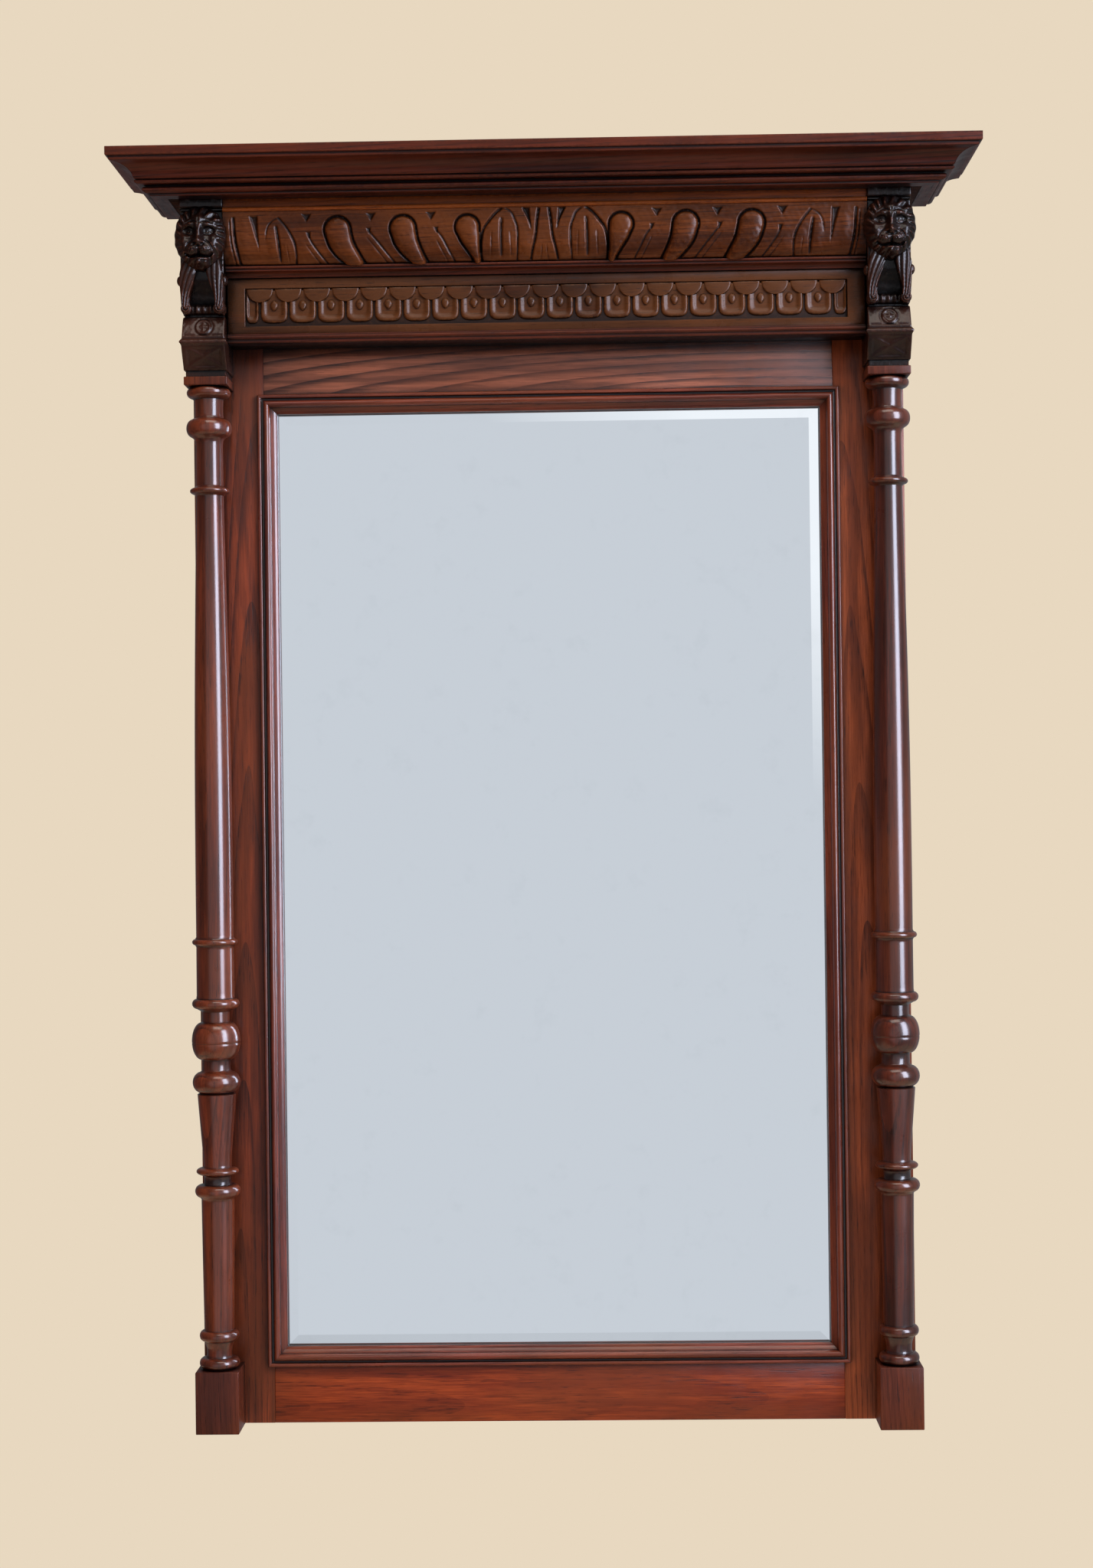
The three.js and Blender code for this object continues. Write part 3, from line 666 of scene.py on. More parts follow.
@dataclass(frozen=True)
class VarnishedOak:
    """European oak, stained red-brown, carved or planed, and varnished by hand.

    The growth rings give bands that open into arches on a flat-sawn face, the wide vessels of
    the early wood give short dark lines along the grain, and the varnish gives a soft gloss
    that dust and wax dull in the hollows.

    Attributes:
        name: Name of the material.
        light: Colour of the late wood.
        dark: Colour of the early wood.
        deep: Colour of the pores, of old wax and dust in the hollows, and of the painted shade in hollows,
            corners and undersides.
        worn: Colour of faded patches and of rubbed ridges, where it also serves as painted highlight.
        grain: The way that the grain runs.
        ring: Spacing of the growth rings in millimetres.
        heart: A point on the line of the tree's heart, in metres.
        tilt: Angle in degrees between the grain and the piece.
        figure: Strength of the ring pattern.
        gloss: Roughness of the varnish.
        coat: Weight of the varnish coat.
        dirt: Strength of the darkening in the hollows, partly dust and partly painted shade, and of the
            painted shade where pieces meet.
        wear_and_highlight: Strength of the lighter ridges, partly rubbed by handling and partly painted
            highlight.
        pores: Strength of the pores' relief.
        shine: Specular level under the coat.
    """

    name: str
    light: str
    dark: str
    deep: str
    worn: str
    grain: Grain
    ring: float = 6.0
    heart: tuple[float, float, float] = (0.03, 0.11, 0.0)
    tilt: tuple[float, float, float] = (2.0, 3.0, 1.0)
    figure: float = 0.5
    gloss: float = 0.33
    coat: float = 0.08
    dirt: float = 0.85
    wear_and_highlight: float = 0.35
    pores: float = 0.3
    shine: float = 0.25

    def make(self) -> bpy.types.Material:
        """Builds the material.

        Returns:
            The material.
        """
        m = Material(self.name)
        add = m.add
        # fibres: fine long streaks of 1 to 2 mm, drawn a little coarser than real so that they show
        fibre = m.patches(2.4, self.grain.stretch(26), 5, 0.62)
        # broad streaks of a few centimetres, where the stain took more or less
        band = m.patches(16, self.grain.stretch(14), 3, 0.5)
        # growth rings round the heart of the tree
        spin = Euler([math.radians(a) for a in self.tilt])
        lie = {"Location": -(spin.to_matrix() @ Vector(self.heart)), "Rotation": spin}
        rings = m.rings(self.grain, self.ring, 7, lie, {"Distortion": 4.0, "Detail Scale": 0.3})
        early = add(SPAN, rings, 0.5, 0.97, **SOFT)
        # pores: short dark lines 1 mm wide, most of them in the early wood
        dots = add(SPAN, m.patches(1.3, self.grain.stretch(18), 2, 0.5), 0.56, 0.68, **SOFT)
        pore = add(MATH, dots, add(SPAN, early, 0.0, 1.0, 0.45, 1.0, **SOFT), **TIMES)
        figure = 0.68 * self.figure
        streaks = add(SPAN, fibre, 0.3, 0.7, **SOFT)
        late = add(MATH, add(MATH, 1.0, early, **MINUS), figure, **TIMES)
        share = add(MATH, add(MATH, streaks, 1 - figure, **TIMES), late, **PLUS)
        wood = add(MIX, share, self.dark, self.light, **COLOURS)
        stain = add(SPAN, band, 0.36, 0.64, 0.0, 0.7, **SOFT)
        wood = add(MIX, stain, wood, self.dark, **COLOURS)
        # patches of 110 mm, where light and polish changed the colour with the years
        years = m.patches(110, self.grain.stretch(2.5), 2)
        faded = add(SPAN, years, 0.4, 0.66, 0.0, 0.4, **SOFT)
        wood = add(MIX, faded, wood, self.worn, **COLOURS)
        wood = add(MIX, add(MATH, pore, 0.62, **TIMES), wood, self.deep, **COLOURS)
        # darker specks of 5 mm in the hollows, as wax and dust and also as painted shade, and lighter spots
        # on the ridges, as rubbed bare spots and also as painted highlight
        relief = add("ShaderNodeAttribute", attribute_name="relief").outputs["Fac"]
        speck = m.patches(5.0, detail=4, rough=0.65)
        low = add(SPAN, relief, 0.03, 0.42, **SOFT)
        hollow = add(MATH, low, add(SPAN, speck, 0.25, 0.55, 0.7, 1.0, **SOFT), **TIMES)
        high = add(SPAN, add(MATH, relief, -1.0, **TIMES), 0.08, 0.6, **SOFT)
        ridge = add(MATH, high, add(SPAN, speck, 0.4, 0.6, **SOFT), **TIMES)
        wood = add(MIX, add(MATH, ridge, self.wear_and_highlight, **TIMES), wood, self.worn, **COLOURS)
        wood = add(MIX, add(MATH, hollow, self.dirt, **TIMES), wood, self.deep, **COLOURS)
        # painted shade where two pieces meet, 45 mm wide, from ambient occlusion
        corner = add("ShaderNodeAmbientOcclusion", named={"Distance": 0.045}, samples=6).outputs["AO"]
        painted_corner_shade = add(SPAN, corner, 0.77, 0.48, 0.0, 1.1 * self.dirt, **SOFT)
        wood = add(MIX, painted_corner_shade, wood, self.deep, **COLOURS)
        # the brush left the varnish uneven in patches of 28 mm, and wax and pores dull it
        brushed = m.patches(28, detail=4, rough=0.6)
        rough = add(SPAN, brushed, 0.3, 0.7, self.gloss - 0.05, self.gloss + 0.08, **SOFT)
        rough = add(MATH, rough, add(MATH, hollow, 0.25, **TIMES), **PLUS)
        rough = add(MATH, rough, add(MATH, pore, 0.1, **TIMES), **PLUS)
        height = add(MATH, add(MATH, fibre, 0.5, **TIMES), add(MATH, pore, 0.8, **TIMES), **MINUS)
        uneven = add(MATH, m.patches(9, detail=2), 0.7, **TIMES)
        height = add(MATH, height, uneven, **PLUS)
        bump = add("ShaderNodeBump", named={"Strength": self.pores, "Distance": 0.0003, "Height": height})
        coat = {"Coat Weight": self.coat, "Coat Roughness": 0.19, "Coat IOR": 1.5}
        film = {"Roughness": rough, "Normal": bump, "IOR": 1.5, "Specular IOR Level": self.shine, **coat}
        return m.dress({"Base Color": wood, **film})


@dataclass(frozen=True)
class SawnPine:
    """Pine left bare on the back, browned by age and dust.

    Saw and plane leave it matt; the summer and winter wood give broad soft bands.

    Attributes:
        name: Name of the material.
        light: Colour of the spring wood.
        dark: Colour of the late wood.
        grain: The way that the grain runs.
    """

    name: str
    light: str
    dark: str
    grain: Grain

    def make(self) -> bpy.types.Material:
        """Builds the material.

        Returns:
            The material.
        """
        m = Material(self.name)
        add = m.add
        shift = add("ShaderNodeAttribute", attribute_name="log").outputs["Vector"]
        m.place = add(VECTOR, m.place, shift, **PLUS).outputs[0]
        lie, stray = {"Rotation": (0.03, 0.04, 0.02)}, {"Distortion": 6.0, "Detail Scale": 0.4}
        rings = m.rings(self.grain, 9.0, 9, lie, stray)
        fibre = m.patches(2.6, self.grain.stretch(22), 4, 0.6)
        late = add(SPAN, rings, 0.5, 1.0, **SOFT)
        wood = add(MIX, late, self.light, self.dark, **COLOURS)
        streaks = add(SPAN, fibre, 0.35, 0.7, 0.0, 0.35, **SOFT)
        wood = add(MIX, streaks, wood, self.dark, **COLOURS)
        # dust and water marks in patches of 90 mm
        dust = add(SPAN, m.patches(90, detail=5, rough=0.6), 0.45, 0.75, 0.0, 0.3, **SOFT)
        wood = add(MIX, dust, wood, "#5f452a", **COLOURS)
        height = add(MATH, add(MATH, fibre, 0.6, **TIMES), add(MATH, rings, 0.3, **TIMES), **PLUS)
        bump = add("ShaderNodeBump", named={"Strength": 0.5, "Distance": 0.0004, "Height": height})
        rough = add(SPAN, fibre, 0.3, 0.7, 0.75, 0.92, **SOFT)
        return m.dress({"Base Color": wood, "Normal": bump, "Roughness": rough, "Specular IOR Level": 0.12})


@dataclass(frozen=True)
class SilveredGlass:
    """Plate glass, ground and polished, with a silver coat on its back.

    Attributes:
        name: Name of the material.
        tint: Colour that the glass and the silver give to what they reflect.
    """

    name: str = "Silvered plate glass"
    tint: str = "#f1f4f6"

    def make(self) -> bpy.types.Material:
        """Builds the material.

        Returns:
            The material.
        """
        m = Material(self.name)
        add = m.add
        # a breath of haze in patches of 60 mm, and hand-ground waves 150 mm long
        haze = add(SPAN, m.patches(60, detail=5, rough=0.65), 0.52, 0.8, 0.012, 0.03, **SOFT)
        cloud = add(SPAN, m.patches(35, detail=4), 0.55, 0.8, 0.0, 0.3, **SOFT)
        colour = add(MIX, cloud, self.tint, "#e4e8ea", **COLOURS)
        waves = m.patches(150, detail=1)
        bump = add("ShaderNodeBump", named={"Strength": 0.02, "Distance": 0.0002, "Height": waves})
        return m.dress({"Base Color": colour, "Roughness": haze, "Normal": bump, "Metallic": 1.0})


@dataclass(frozen=True)
class ForgedIron:
    """Wrought iron, hammered flat and browned: dark, with soft dents and rust in the low spots.

    Attributes:
        name: Name of the material.
        bare: Colour of the metal.
        rust: Colour of the rust.
    """

    name: str = "Forged iron"
    bare: str = "#4a4744"
    rust: str = "#4c2c1c"

    def make(self) -> bpy.types.Material:
        """Builds the material.

        Returns:
            The material.
        """
        m = Material(self.name)
        add = m.add
        # rust in spots of 4 mm, and hammered dents of 7 mm
        spot = add(SPAN, m.patches(4.0, detail=5, rough=0.65), 0.5, 0.66, **SOFT)
        colour = add(MIX, spot, self.bare, self.rust, **COLOURS)
        crust = add(MATH, spot, 0.3, **TIMES)
        height = add(MATH, m.patches(7.0, detail=2), crust, **PLUS)
        bump = add("ShaderNodeBump", named={"Strength": 0.5, "Distance": 0.0004, "Height": height})
        rough = add(SPAN, spot, 0.0, 1.0, 0.48, 0.85, **SOFT)
        metal = add(SPAN, spot, 0.0, 1.0, 0.95, 0.3, **SOFT)
        return m.dress({"Base Color": colour, "Roughness": rough, "Metallic": metal, "Normal": bump})


class Finishes:
    """All finishes of the mirror, each made once."""

    def __init__(self) -> None:
        """Makes the materials."""

        def oak(name: str, *tones: Any, **rest: Any) -> bpy.types.Material:
            """Makes one finish in varnished oak."""
            return VarnishedOak(name, *tones, **rest).make()

        up, along, deep = Grain.UPRIGHT, Grain.ACROSS, Grain.DEEP
        red = {"deep": "#120605", "worn": "#8a431f"}
        glossy = {"gloss": 0.32, "coat": 0.9, "pores": 0.1, "shine": 0.16, **red}
        self.stile, self.turning = {}, {}
        # the two sides are one wood: the right stile's lighter colours are painted light from the window
        # side, and the right column's darker colours are painted shade
        for side, sign, stile, turning in (
            ("left", -1, ("#9e4628", "#3e160c"), ("#823a22", "#3a170d")),
            ("right", 1, ("#cc683e", "#602814"), ("#642a1a", "#290f09")),
        ):
            flat = {"heart": (sign * 0.4, 0.02, sign * 0.1), "tilt": (1.6, sign * 2.0, 0.0), "figure": 0.8}
            self.stile[side] = oak(f"Varnished oak stile {side}", *stile, grain=up, dirt=0.5, **flat, **red)
            round_ = {"heart": (sign * 0.44 + 0.02, 0.0, 0.0), "tilt": (1.2, 1.5, 0.0), "figure": 0.7}
            self.turning[side] = oak(f"Turned oak {side}", *turning, grain=up, ring=7.0, **round_, **glossy)
        rail = {"grain": along, "ring": 11.0, **red}
        # the top rail takes strong painted shade, for the shadow under the frieze
        top = {"heart": (0.2, -0.022, 0.52), "tilt": (0, 1.2, 6.0), "figure": 1.0, "coat": 0.45, "dirt": 0.95}
        self.top_rail = oak("Varnished oak top rail", "#d47f60", "#30110a", **top, **rail)
        bottom = {"heart": (-0.5, -0.06, -0.8), "tilt": (0, 0.6, 3), "figure": 0.35}
        self.bottom_rail = oak("Varnished oak bottom rail", "#b85024", "#6a210e", **bottom, **rail)
        moulding = {"light": "#8c4030", "dark": "#4a1c14", "ring": 5.0, **glossy}
        self.moulding_across = oak("Oak moulding across", grain=along, **{**moulding, "coat": 0.4})
        self.moulding_upright = oak("Oak moulding upright", grain=up, **moulding)
        self.block = oak("Oak block", "#6e3424", "#3c1a12", grain=up, figure=0.5, shine=0.18, **red)
        cut = {"deep": "#0b0402", "grain": along, "figure": 0.4, "gloss": 0.3, "coat": 0.05}
        cut |= {"shine": 0.13, "wear_and_highlight": 0.7}
        self.carving = oak("Carved oak", "#703818", "#321507", worn="#8c4c22", **cut)
        self.panel = oak("Carved oak panel", "#442010", "#1e0e06", worn="#7e4c2a", **cut)
        self.fillet = oak("Planed oak fillet", "#a04e1e", "#50240d", worn="#9c5220", dirt=0.35, **cut)
        handled = {"figure": 0.3, "gloss": 0.3, "coat": 0.2, "wear_and_highlight": 0.75, "shine": 0.15}
        self.bracket = oak("Carved oak bracket", "#25100b", "#100604", "#040101", "#5c3426", up, **handled)
        dark = {"light": "#5a2417", "dark": "#240c07", "deep": "#080202", "worn": "#6c3019"}
        self.cornice_across = oak("Oak cornice across", grain=along, figure=0.8, shine=0.14, **dark)
        self.cornice_return = oak("Oak cornice return", grain=deep, figure=0.8, shine=0.14, **dark)
        # painted shade: the soffit under the frieze is near black, for the shadow under the overhang
        self.soffit = oak("Oak soffit", "#1e0b06", "#0e0503", "#080202", "#2a120a", along, shine=0.1)
        self.pine_upright = SawnPine("Aged pine upright", "#a8855a", "#7a5734", up).make()
        self.pine_across = SawnPine("Aged pine across", "#9f7c52", "#73502f", along).make()
        # painted shade: dark pine for the bed board, whose underside lies in the shadow under the cornice
        self.shade_dark_pine = SawnPine("Stained pine", "#3a1c12", "#1e0d08", along).make()
        self.mirror = SilveredGlass().make()
        self.iron = ForgedIron().make()


# ------------------------------------------------------------------ carcase and back


@dataclass
class Carcase:
    """Stiles and rails of the frame, and the boards and blocks behind them.

    Attributes:
        edge: Width of the eased edges of the oak.
        pine_edges: Width and number of faces of the eased edges of boards, blocks and the rest.
        log_low: Least shift of a board in its log, in metres.
        log_high: Largest shift.
    """

    edge: float = 0.9
    pine_edges: tuple[tuple[float, int], ...] = ((1.6, 3), (0.5, 2), (1.2, 2))
    log_low: Point3 = (-0.11, 0.02, -0.11)
    log_high: Point3 = (0.11, 0.08, 0.11)

    def build(self, finishes: Finishes) -> None:
        """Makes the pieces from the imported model's nodes with eased edges.

        Args:
            finishes: The mirror's finishes.
        """
        for node, slot, finish in (
            *((f"stile_{side}", "oak_frame", finishes.stile[side]) for side in SIDES),
            ("top_rail", "oak_rail", finishes.top_rail),
            ("bottom_rail", "oak_rail", finishes.bottom_rail),
            # painted shade: the soffit's near-black finish stands for the shadow under the frieze
            ("frieze_soffit", "oak_cornice", finishes.soffit),
        ):
            hand_over(f"oak_{node}", eased_copy(node, self.edge), slot, finish, node)
        board, block, other = self.pine_edges
        side_blocks = [f"glass_block_{a}_{b}" for a in SIDES for b in ("lower", "upper")]
        end_blocks = [f"glass_block_{a}_{b}" for a in ("bottom", "top") for b in SIDES]
        rng = np.random.default_rng(5)
        for nodes, edges, finish in (
            ([f"backboard_{i + 1}" for i in range(5)], board, finishes.pine_upright),
            (side_blocks, block, finishes.pine_upright),
            (["hanging_rail", "cornice_back_rail", "cornice_top_board"], other, finishes.pine_across),
            ([f"glue_block_{i + 1}" for i in range(3)], other, finishes.pine_across),
            (end_blocks, block, finishes.pine_across),
            # painted shade: the bed board is darkened for the shadow under the cornice
            (["cornice_bed_board"], other, finishes.shade_dark_pine),
        ):
            for node in nodes:
                mesh = eased_copy(node, *edges)
                self.set_log(mesh, rng)
                hand_over(f"pine_{node}", mesh, "pine_inside", finish, node)

    def set_log(self, mesh: Mesh, rng: np.random.Generator) -> None:
        """Gives a board its own place in the log, so that no two boards share one pattern.

        Args:
            mesh: The board.
            rng: Source of the places.
        """
        shift = rng.uniform(self.log_low, self.log_high) - sum(corners(mesh)) / 2
        layer = mesh.attributes.new("log", "FLOAT_VECTOR", "POINT")
        layer.data.foreach_set("vector", np.tile(shift, len(mesh.vertices)).astype(np.float32))


@dataclass
class HangingGear:
    """Iron hanging plates and their slotted screws.

    Attributes:
        x: Distance of a plate from the middle.
        head_plane: y of the plates' outer face.
        levels: Heights of the screws.
        head: Radius of a screw's head.
        rise: Height of the head.
        shank: Radius of the shank.
        length: Length of the shank under the head.
        slot: Width of the slot.
    """

    x: float = 280.0
    head_plane: float = 21.0
    levels: tuple[float, float] = (1533.0, 1509.0)
    head: float = 4.0
    rise: float = 2.2
    shank: float = 2.0
    length: float = 18.0
    slot: float = 0.9

    def screw(self) -> bpy.types.Object:
        """Makes one slotted round-head screw at the origin, along y, in metres."""
        outline = [
            (0.0, -self.length),
            (self.shank * 0.4, -self.length),
            (self.shank, -self.length + 3),
            (self.shank, 0.0),
            (self.head, 0.0),
            *arc(0, 0, self.head, self.rise, 12, 82, 7),
            (0.0, self.rise),
        ]
        turns = round_angles(32)
        rings = np.array([[(r * math.cos(t), y, r * math.sin(t)) for t in turns] for r, y in outline])
        inside = (np.abs(rings[..., 0]) < self.slot) & (rings[..., 1] > self.rise * 0.2)
        rings[..., 1] = np.where(inside, np.minimum(rings[..., 1], self.rise * 0.42), rings[..., 1])
        return Form().tube(rings).pattern("screw", 28, None)

    def build(self, finishes: Finishes) -> None:
        """Makes the plates and sets the screws in them.

        Args:
            finishes: The mirror's finishes.
        """
        names = []
        for side in SIDES:
            node = f"hanging_plate_{side}"
            hand_over(f"iron_{node}", eased_copy(node, 0.35), "iron", finishes.iron, node)
            names += [f"hanging_screw_{side}_{i + 1}" for i in range(2)]
        seats = [(s * self.x, self.head_plane, z) for s in SIDES.values() for z in self.levels]
        seed = bpy.data.meshes.new("screw_seats")
        seed.from_pydata(to_row(seats).tolist(), [], [])
        made = Fixings().run("screws", seed, {"Fixing": self.screw(), "Material": finishes.iron})
        shade(made, 30)
        hand_over("iron_hanging_screws", made, "iron", finishes.iron, *names)


# ------------------------------------------------------------------ glass and its moulding


@dataclass
class GlassFrame:
    """Mitred moulding round the mirror plate, and the plate.

    Attributes:
        sight_half: Half of the width that the plate shows.
        sight_half_height: Half of the height that the plate shows.
        middle: Height of the plate's middle.
        width: Width of the moulding.
        lap: What of it lies on the frame.
        proud: How far it stands in front of the frame.
        lip_back: y of its back inside the opening.
        gap: Gap at a mitre.
    """

    sight_half: float = 356.0
    sight_half_height: float = 612.5
    middle: float = 711.5
    width: float = 24.7
    lap: float = 7.7
    proud: float = 10.0
    lip_back: float = 10.18
    gap: float = 0.15

    def profile(self) -> list[Point2]:
        """Section of the moulding as distance from the sight edge and y."""
        swell = [(w, -6.4 - y) for w, y in arc(12.6, -3.2, 4.4, self.proud - 3.2, 172, 8, 18)]
        outline = [
            (0.0, self.lip_back),
            (0.0, 5.0),
            (0.9, 4.1),
            *flow([(1.5, 3.5), (3.4, 2.6), (6.0, 0.5), (8.0, -1.5)], 0.7),
            *swell,
            (17.6, -3.4),
            (19.4, -3.4),
            (19.8, -6.2),
            (21.0, -7.4),
            (23.4, -7.4),
            (self.width, -6.0),
            (self.width, 0.0),
            (self.width - self.lap - 0.3, 0.0),
            (self.width - self.lap - 0.3, self.lip_back),
        ]
        return even(ease(outline, 0.45), 1.2)

    def build(self, finishes: Finishes) -> None:
        """Makes the four mouldings and the plate.

        Args:
            finishes: The mirror's finishes.
        """
        across = self.sight_half, self.sight_half_height, finishes.moulding_across
        upright = self.sight_half_height, self.sight_half, finishes.moulding_upright
        profile = self.profile()
        for quarter, side in enumerate(("top", "right", "bottom", "left")):
            half, offset, finish = upright if side in SIDES else across
            c, s = math.cos(quarter * math.pi / 2), math.sin(quarter * math.pi / 2)

            def place(w: float, y: float, end: int) -> Point3:
                """Point of the section at one end of the strip."""
                along = (1 if end else -1) * (half + w - self.gap)
                out = offset + w
                return along * c + out * s, y, out * c - along * s + self.middle

            mesh = Form().bar(profile, place).bake(side, 30, 1.2)
            hand_over(f"oak_moulding_{side}", mesh, "oak_moulding", finish, f"moulding_{side}")
        plate = eased_copy("mirror_plate", 0.7)
        # flat glass: no shading runs over the crease of the bevel
        shade(plate, 3)
        hand_over("silvered_mirror_plate", plate, "mirror_plate", finishes.mirror, "mirror_plate")


# ------------------------------------------------------------------ columns


def ring(radius: float, middle: float, half: float, root: float | None = None) -> list[Point2]:
    """Outline of a turned ring.

    Args:
        radius: Largest radius.
        middle: Height of its middle.
        half: Half of its height.
        root: Radius where it starts, or None for a round one.

    Returns:
        Points as radius and height.
    """
    root = radius - half * 0.9 if root is None else root
    return arc(root, middle, radius - root, half, -80, 80, 12)


@dataclass
class Column:
    """Turned column between its plinth block and the abacus block.

    Attributes:
        axis_x: Distance of the axis from the middle.
        stand_off: Distance of the axis in front of the frame.
        foot: Height of the column's foot.
        height: Height of the column without its pins.
        pin: Radius of the pins.
        pin_low: Length of the lower pin.
        pin_high: Length of the upper pin.
        segments: Number of faces round the column.
    """

    axis_x: float = 440.0
    stand_off: float = 32.0
    foot: float = 80.0
    height: float = 1274.0
    pin: float = 9.0
    pin_low: float = 20.0
    pin_high: float = 10.7
    segments: int = 96

    def outline(self) -> list[Point2]:
        """Outline as radius and height above the foot, from pin to pin."""
        return [
            (0.0, -self.pin_low),
            (self.pin, -self.pin_low),
            (self.pin, 0.0),
            (21.6, 0.0),
            (22.0, 0.3),
            *ring(26, 7.5, 7, 20),
            (17.5, 15.0),
            *flow([(16.5, 17), (16.3, 21), (16.8, 27), (18.3, 32), (19.5, 35.6)], 1.0),
            *ring(25.6, 43, 6.5, 20.5),
            (19.5, 50.0),
            *flow([(19.4, 52), (19.9, 90), (20.4, 130), (20.9, 180), (21.3, 220)], 3.5),
            *ring(29.4, 230.5, 8, 22),
            (18.0, 239.2),
            (17.6, 240.0),
            (17.6, 249.0),
            (18.4, 250.2),
            *ring(27.4, 256, 4.5, 20),
            (18.6, 261.4),
            *flow([(18.2, 263), (18.5, 272), (19.4, 285), (21.6, 313), (23.7, 340), (24.9, 356)], 3.0),
            *ring(31, 371.5, 13.5, 19.5),
            (18.8, 386.8),
            (18.2, 388.0),
            (18.2, 400.0),
            (18.9, 401.6),
            *self.ball(),
            (17.8, 450.0),
            (17.8, 463.0),
            *ring(30.6, 473.5, 6.6, 23.5),
            (24.9, 481.6),
            *flow([(24.5, 484), (24.4, 515), (24.3, 547)], 4.0),
            *ring(29.6, 553.5, 4, 25),
            *flow(
                [(24.3, 560), (24.3, 640), (23.8, 760), (22.5, 880), (20.4, 1000), (18.5, 1095), (18, 1133)],
                5.0,
            ),
            *ring(25.6, 1139.5, 4, 20),
            *flow([(18, 1146), (17.8, 1175), (17.7, 1200)], 4.0),
            (18.6, 1206.0),
            (20.5, 1208.0),
            *arc(22, 1221, 7.4, 11, -72, 76, 14),
            *flow([(19.6, 1234), (18.7, 1238), (18.6, 1250), (19.2, 1258)], 1.5),
            *ring(28.4, 1267, 7, 21),
            (21.4, 1274.0),
            (self.pin, self.height),
            (self.pin, self.height + self.pin_high),
            (0.0, self.height + self.pin_high),
        ]

    def ball(self) -> list[Point2]:
        """Outline of the ball, with the line that is cut round its middle."""
        low, high = arc(19, 425, 12.4, 24, -82, -8, 12), arc(19, 425, 12.4, 24, -3, 82, 14)
        return [*low, (30.9, 422.6), *high]

    def build(self, finishes: Finishes) -> None:
        """Turns both columns and eases the blocks under and over them.

        Args:
            finishes: The mirror's finishes.
        """
        lathe, outline = Lathe(), self.outline()
        points = [(r * 0.001, 0.0, z * 0.001) for r, z in outline]
        lines = [(i, i + 1) for i in range(len(points) - 1)]
        for side, sign in SIDES.items():
            seed = bpy.data.meshes.new("outline")
            seed.from_pydata(points, lines, [])
            axis = to_row([sign * self.axis_x, -self.stand_off, self.foot]).tolist()
            sizes = {"Segments": self.segments, "Outline Points": len(outline), "Axis": axis}
            mesh = lathe.run(f"column_{side}", seed, {**sizes, "Material": finishes.turning[side]})
            close_and_turn(mesh)
            shade(mesh, 40)
            mark_relief(mesh, 2.6, 2)
            hand_over(f"oak_column_{side}", mesh, "oak_turning", finishes.turning[side], f"column_{side}")
            for node in (f"plinth_block_{side}", f"abacus_{side}"):
                hand_over(f"oak_{node}", eased_copy(node, 1.1, 3), "oak_turning", finishes.block, node)


# ------------------------------------------------------------------ carving


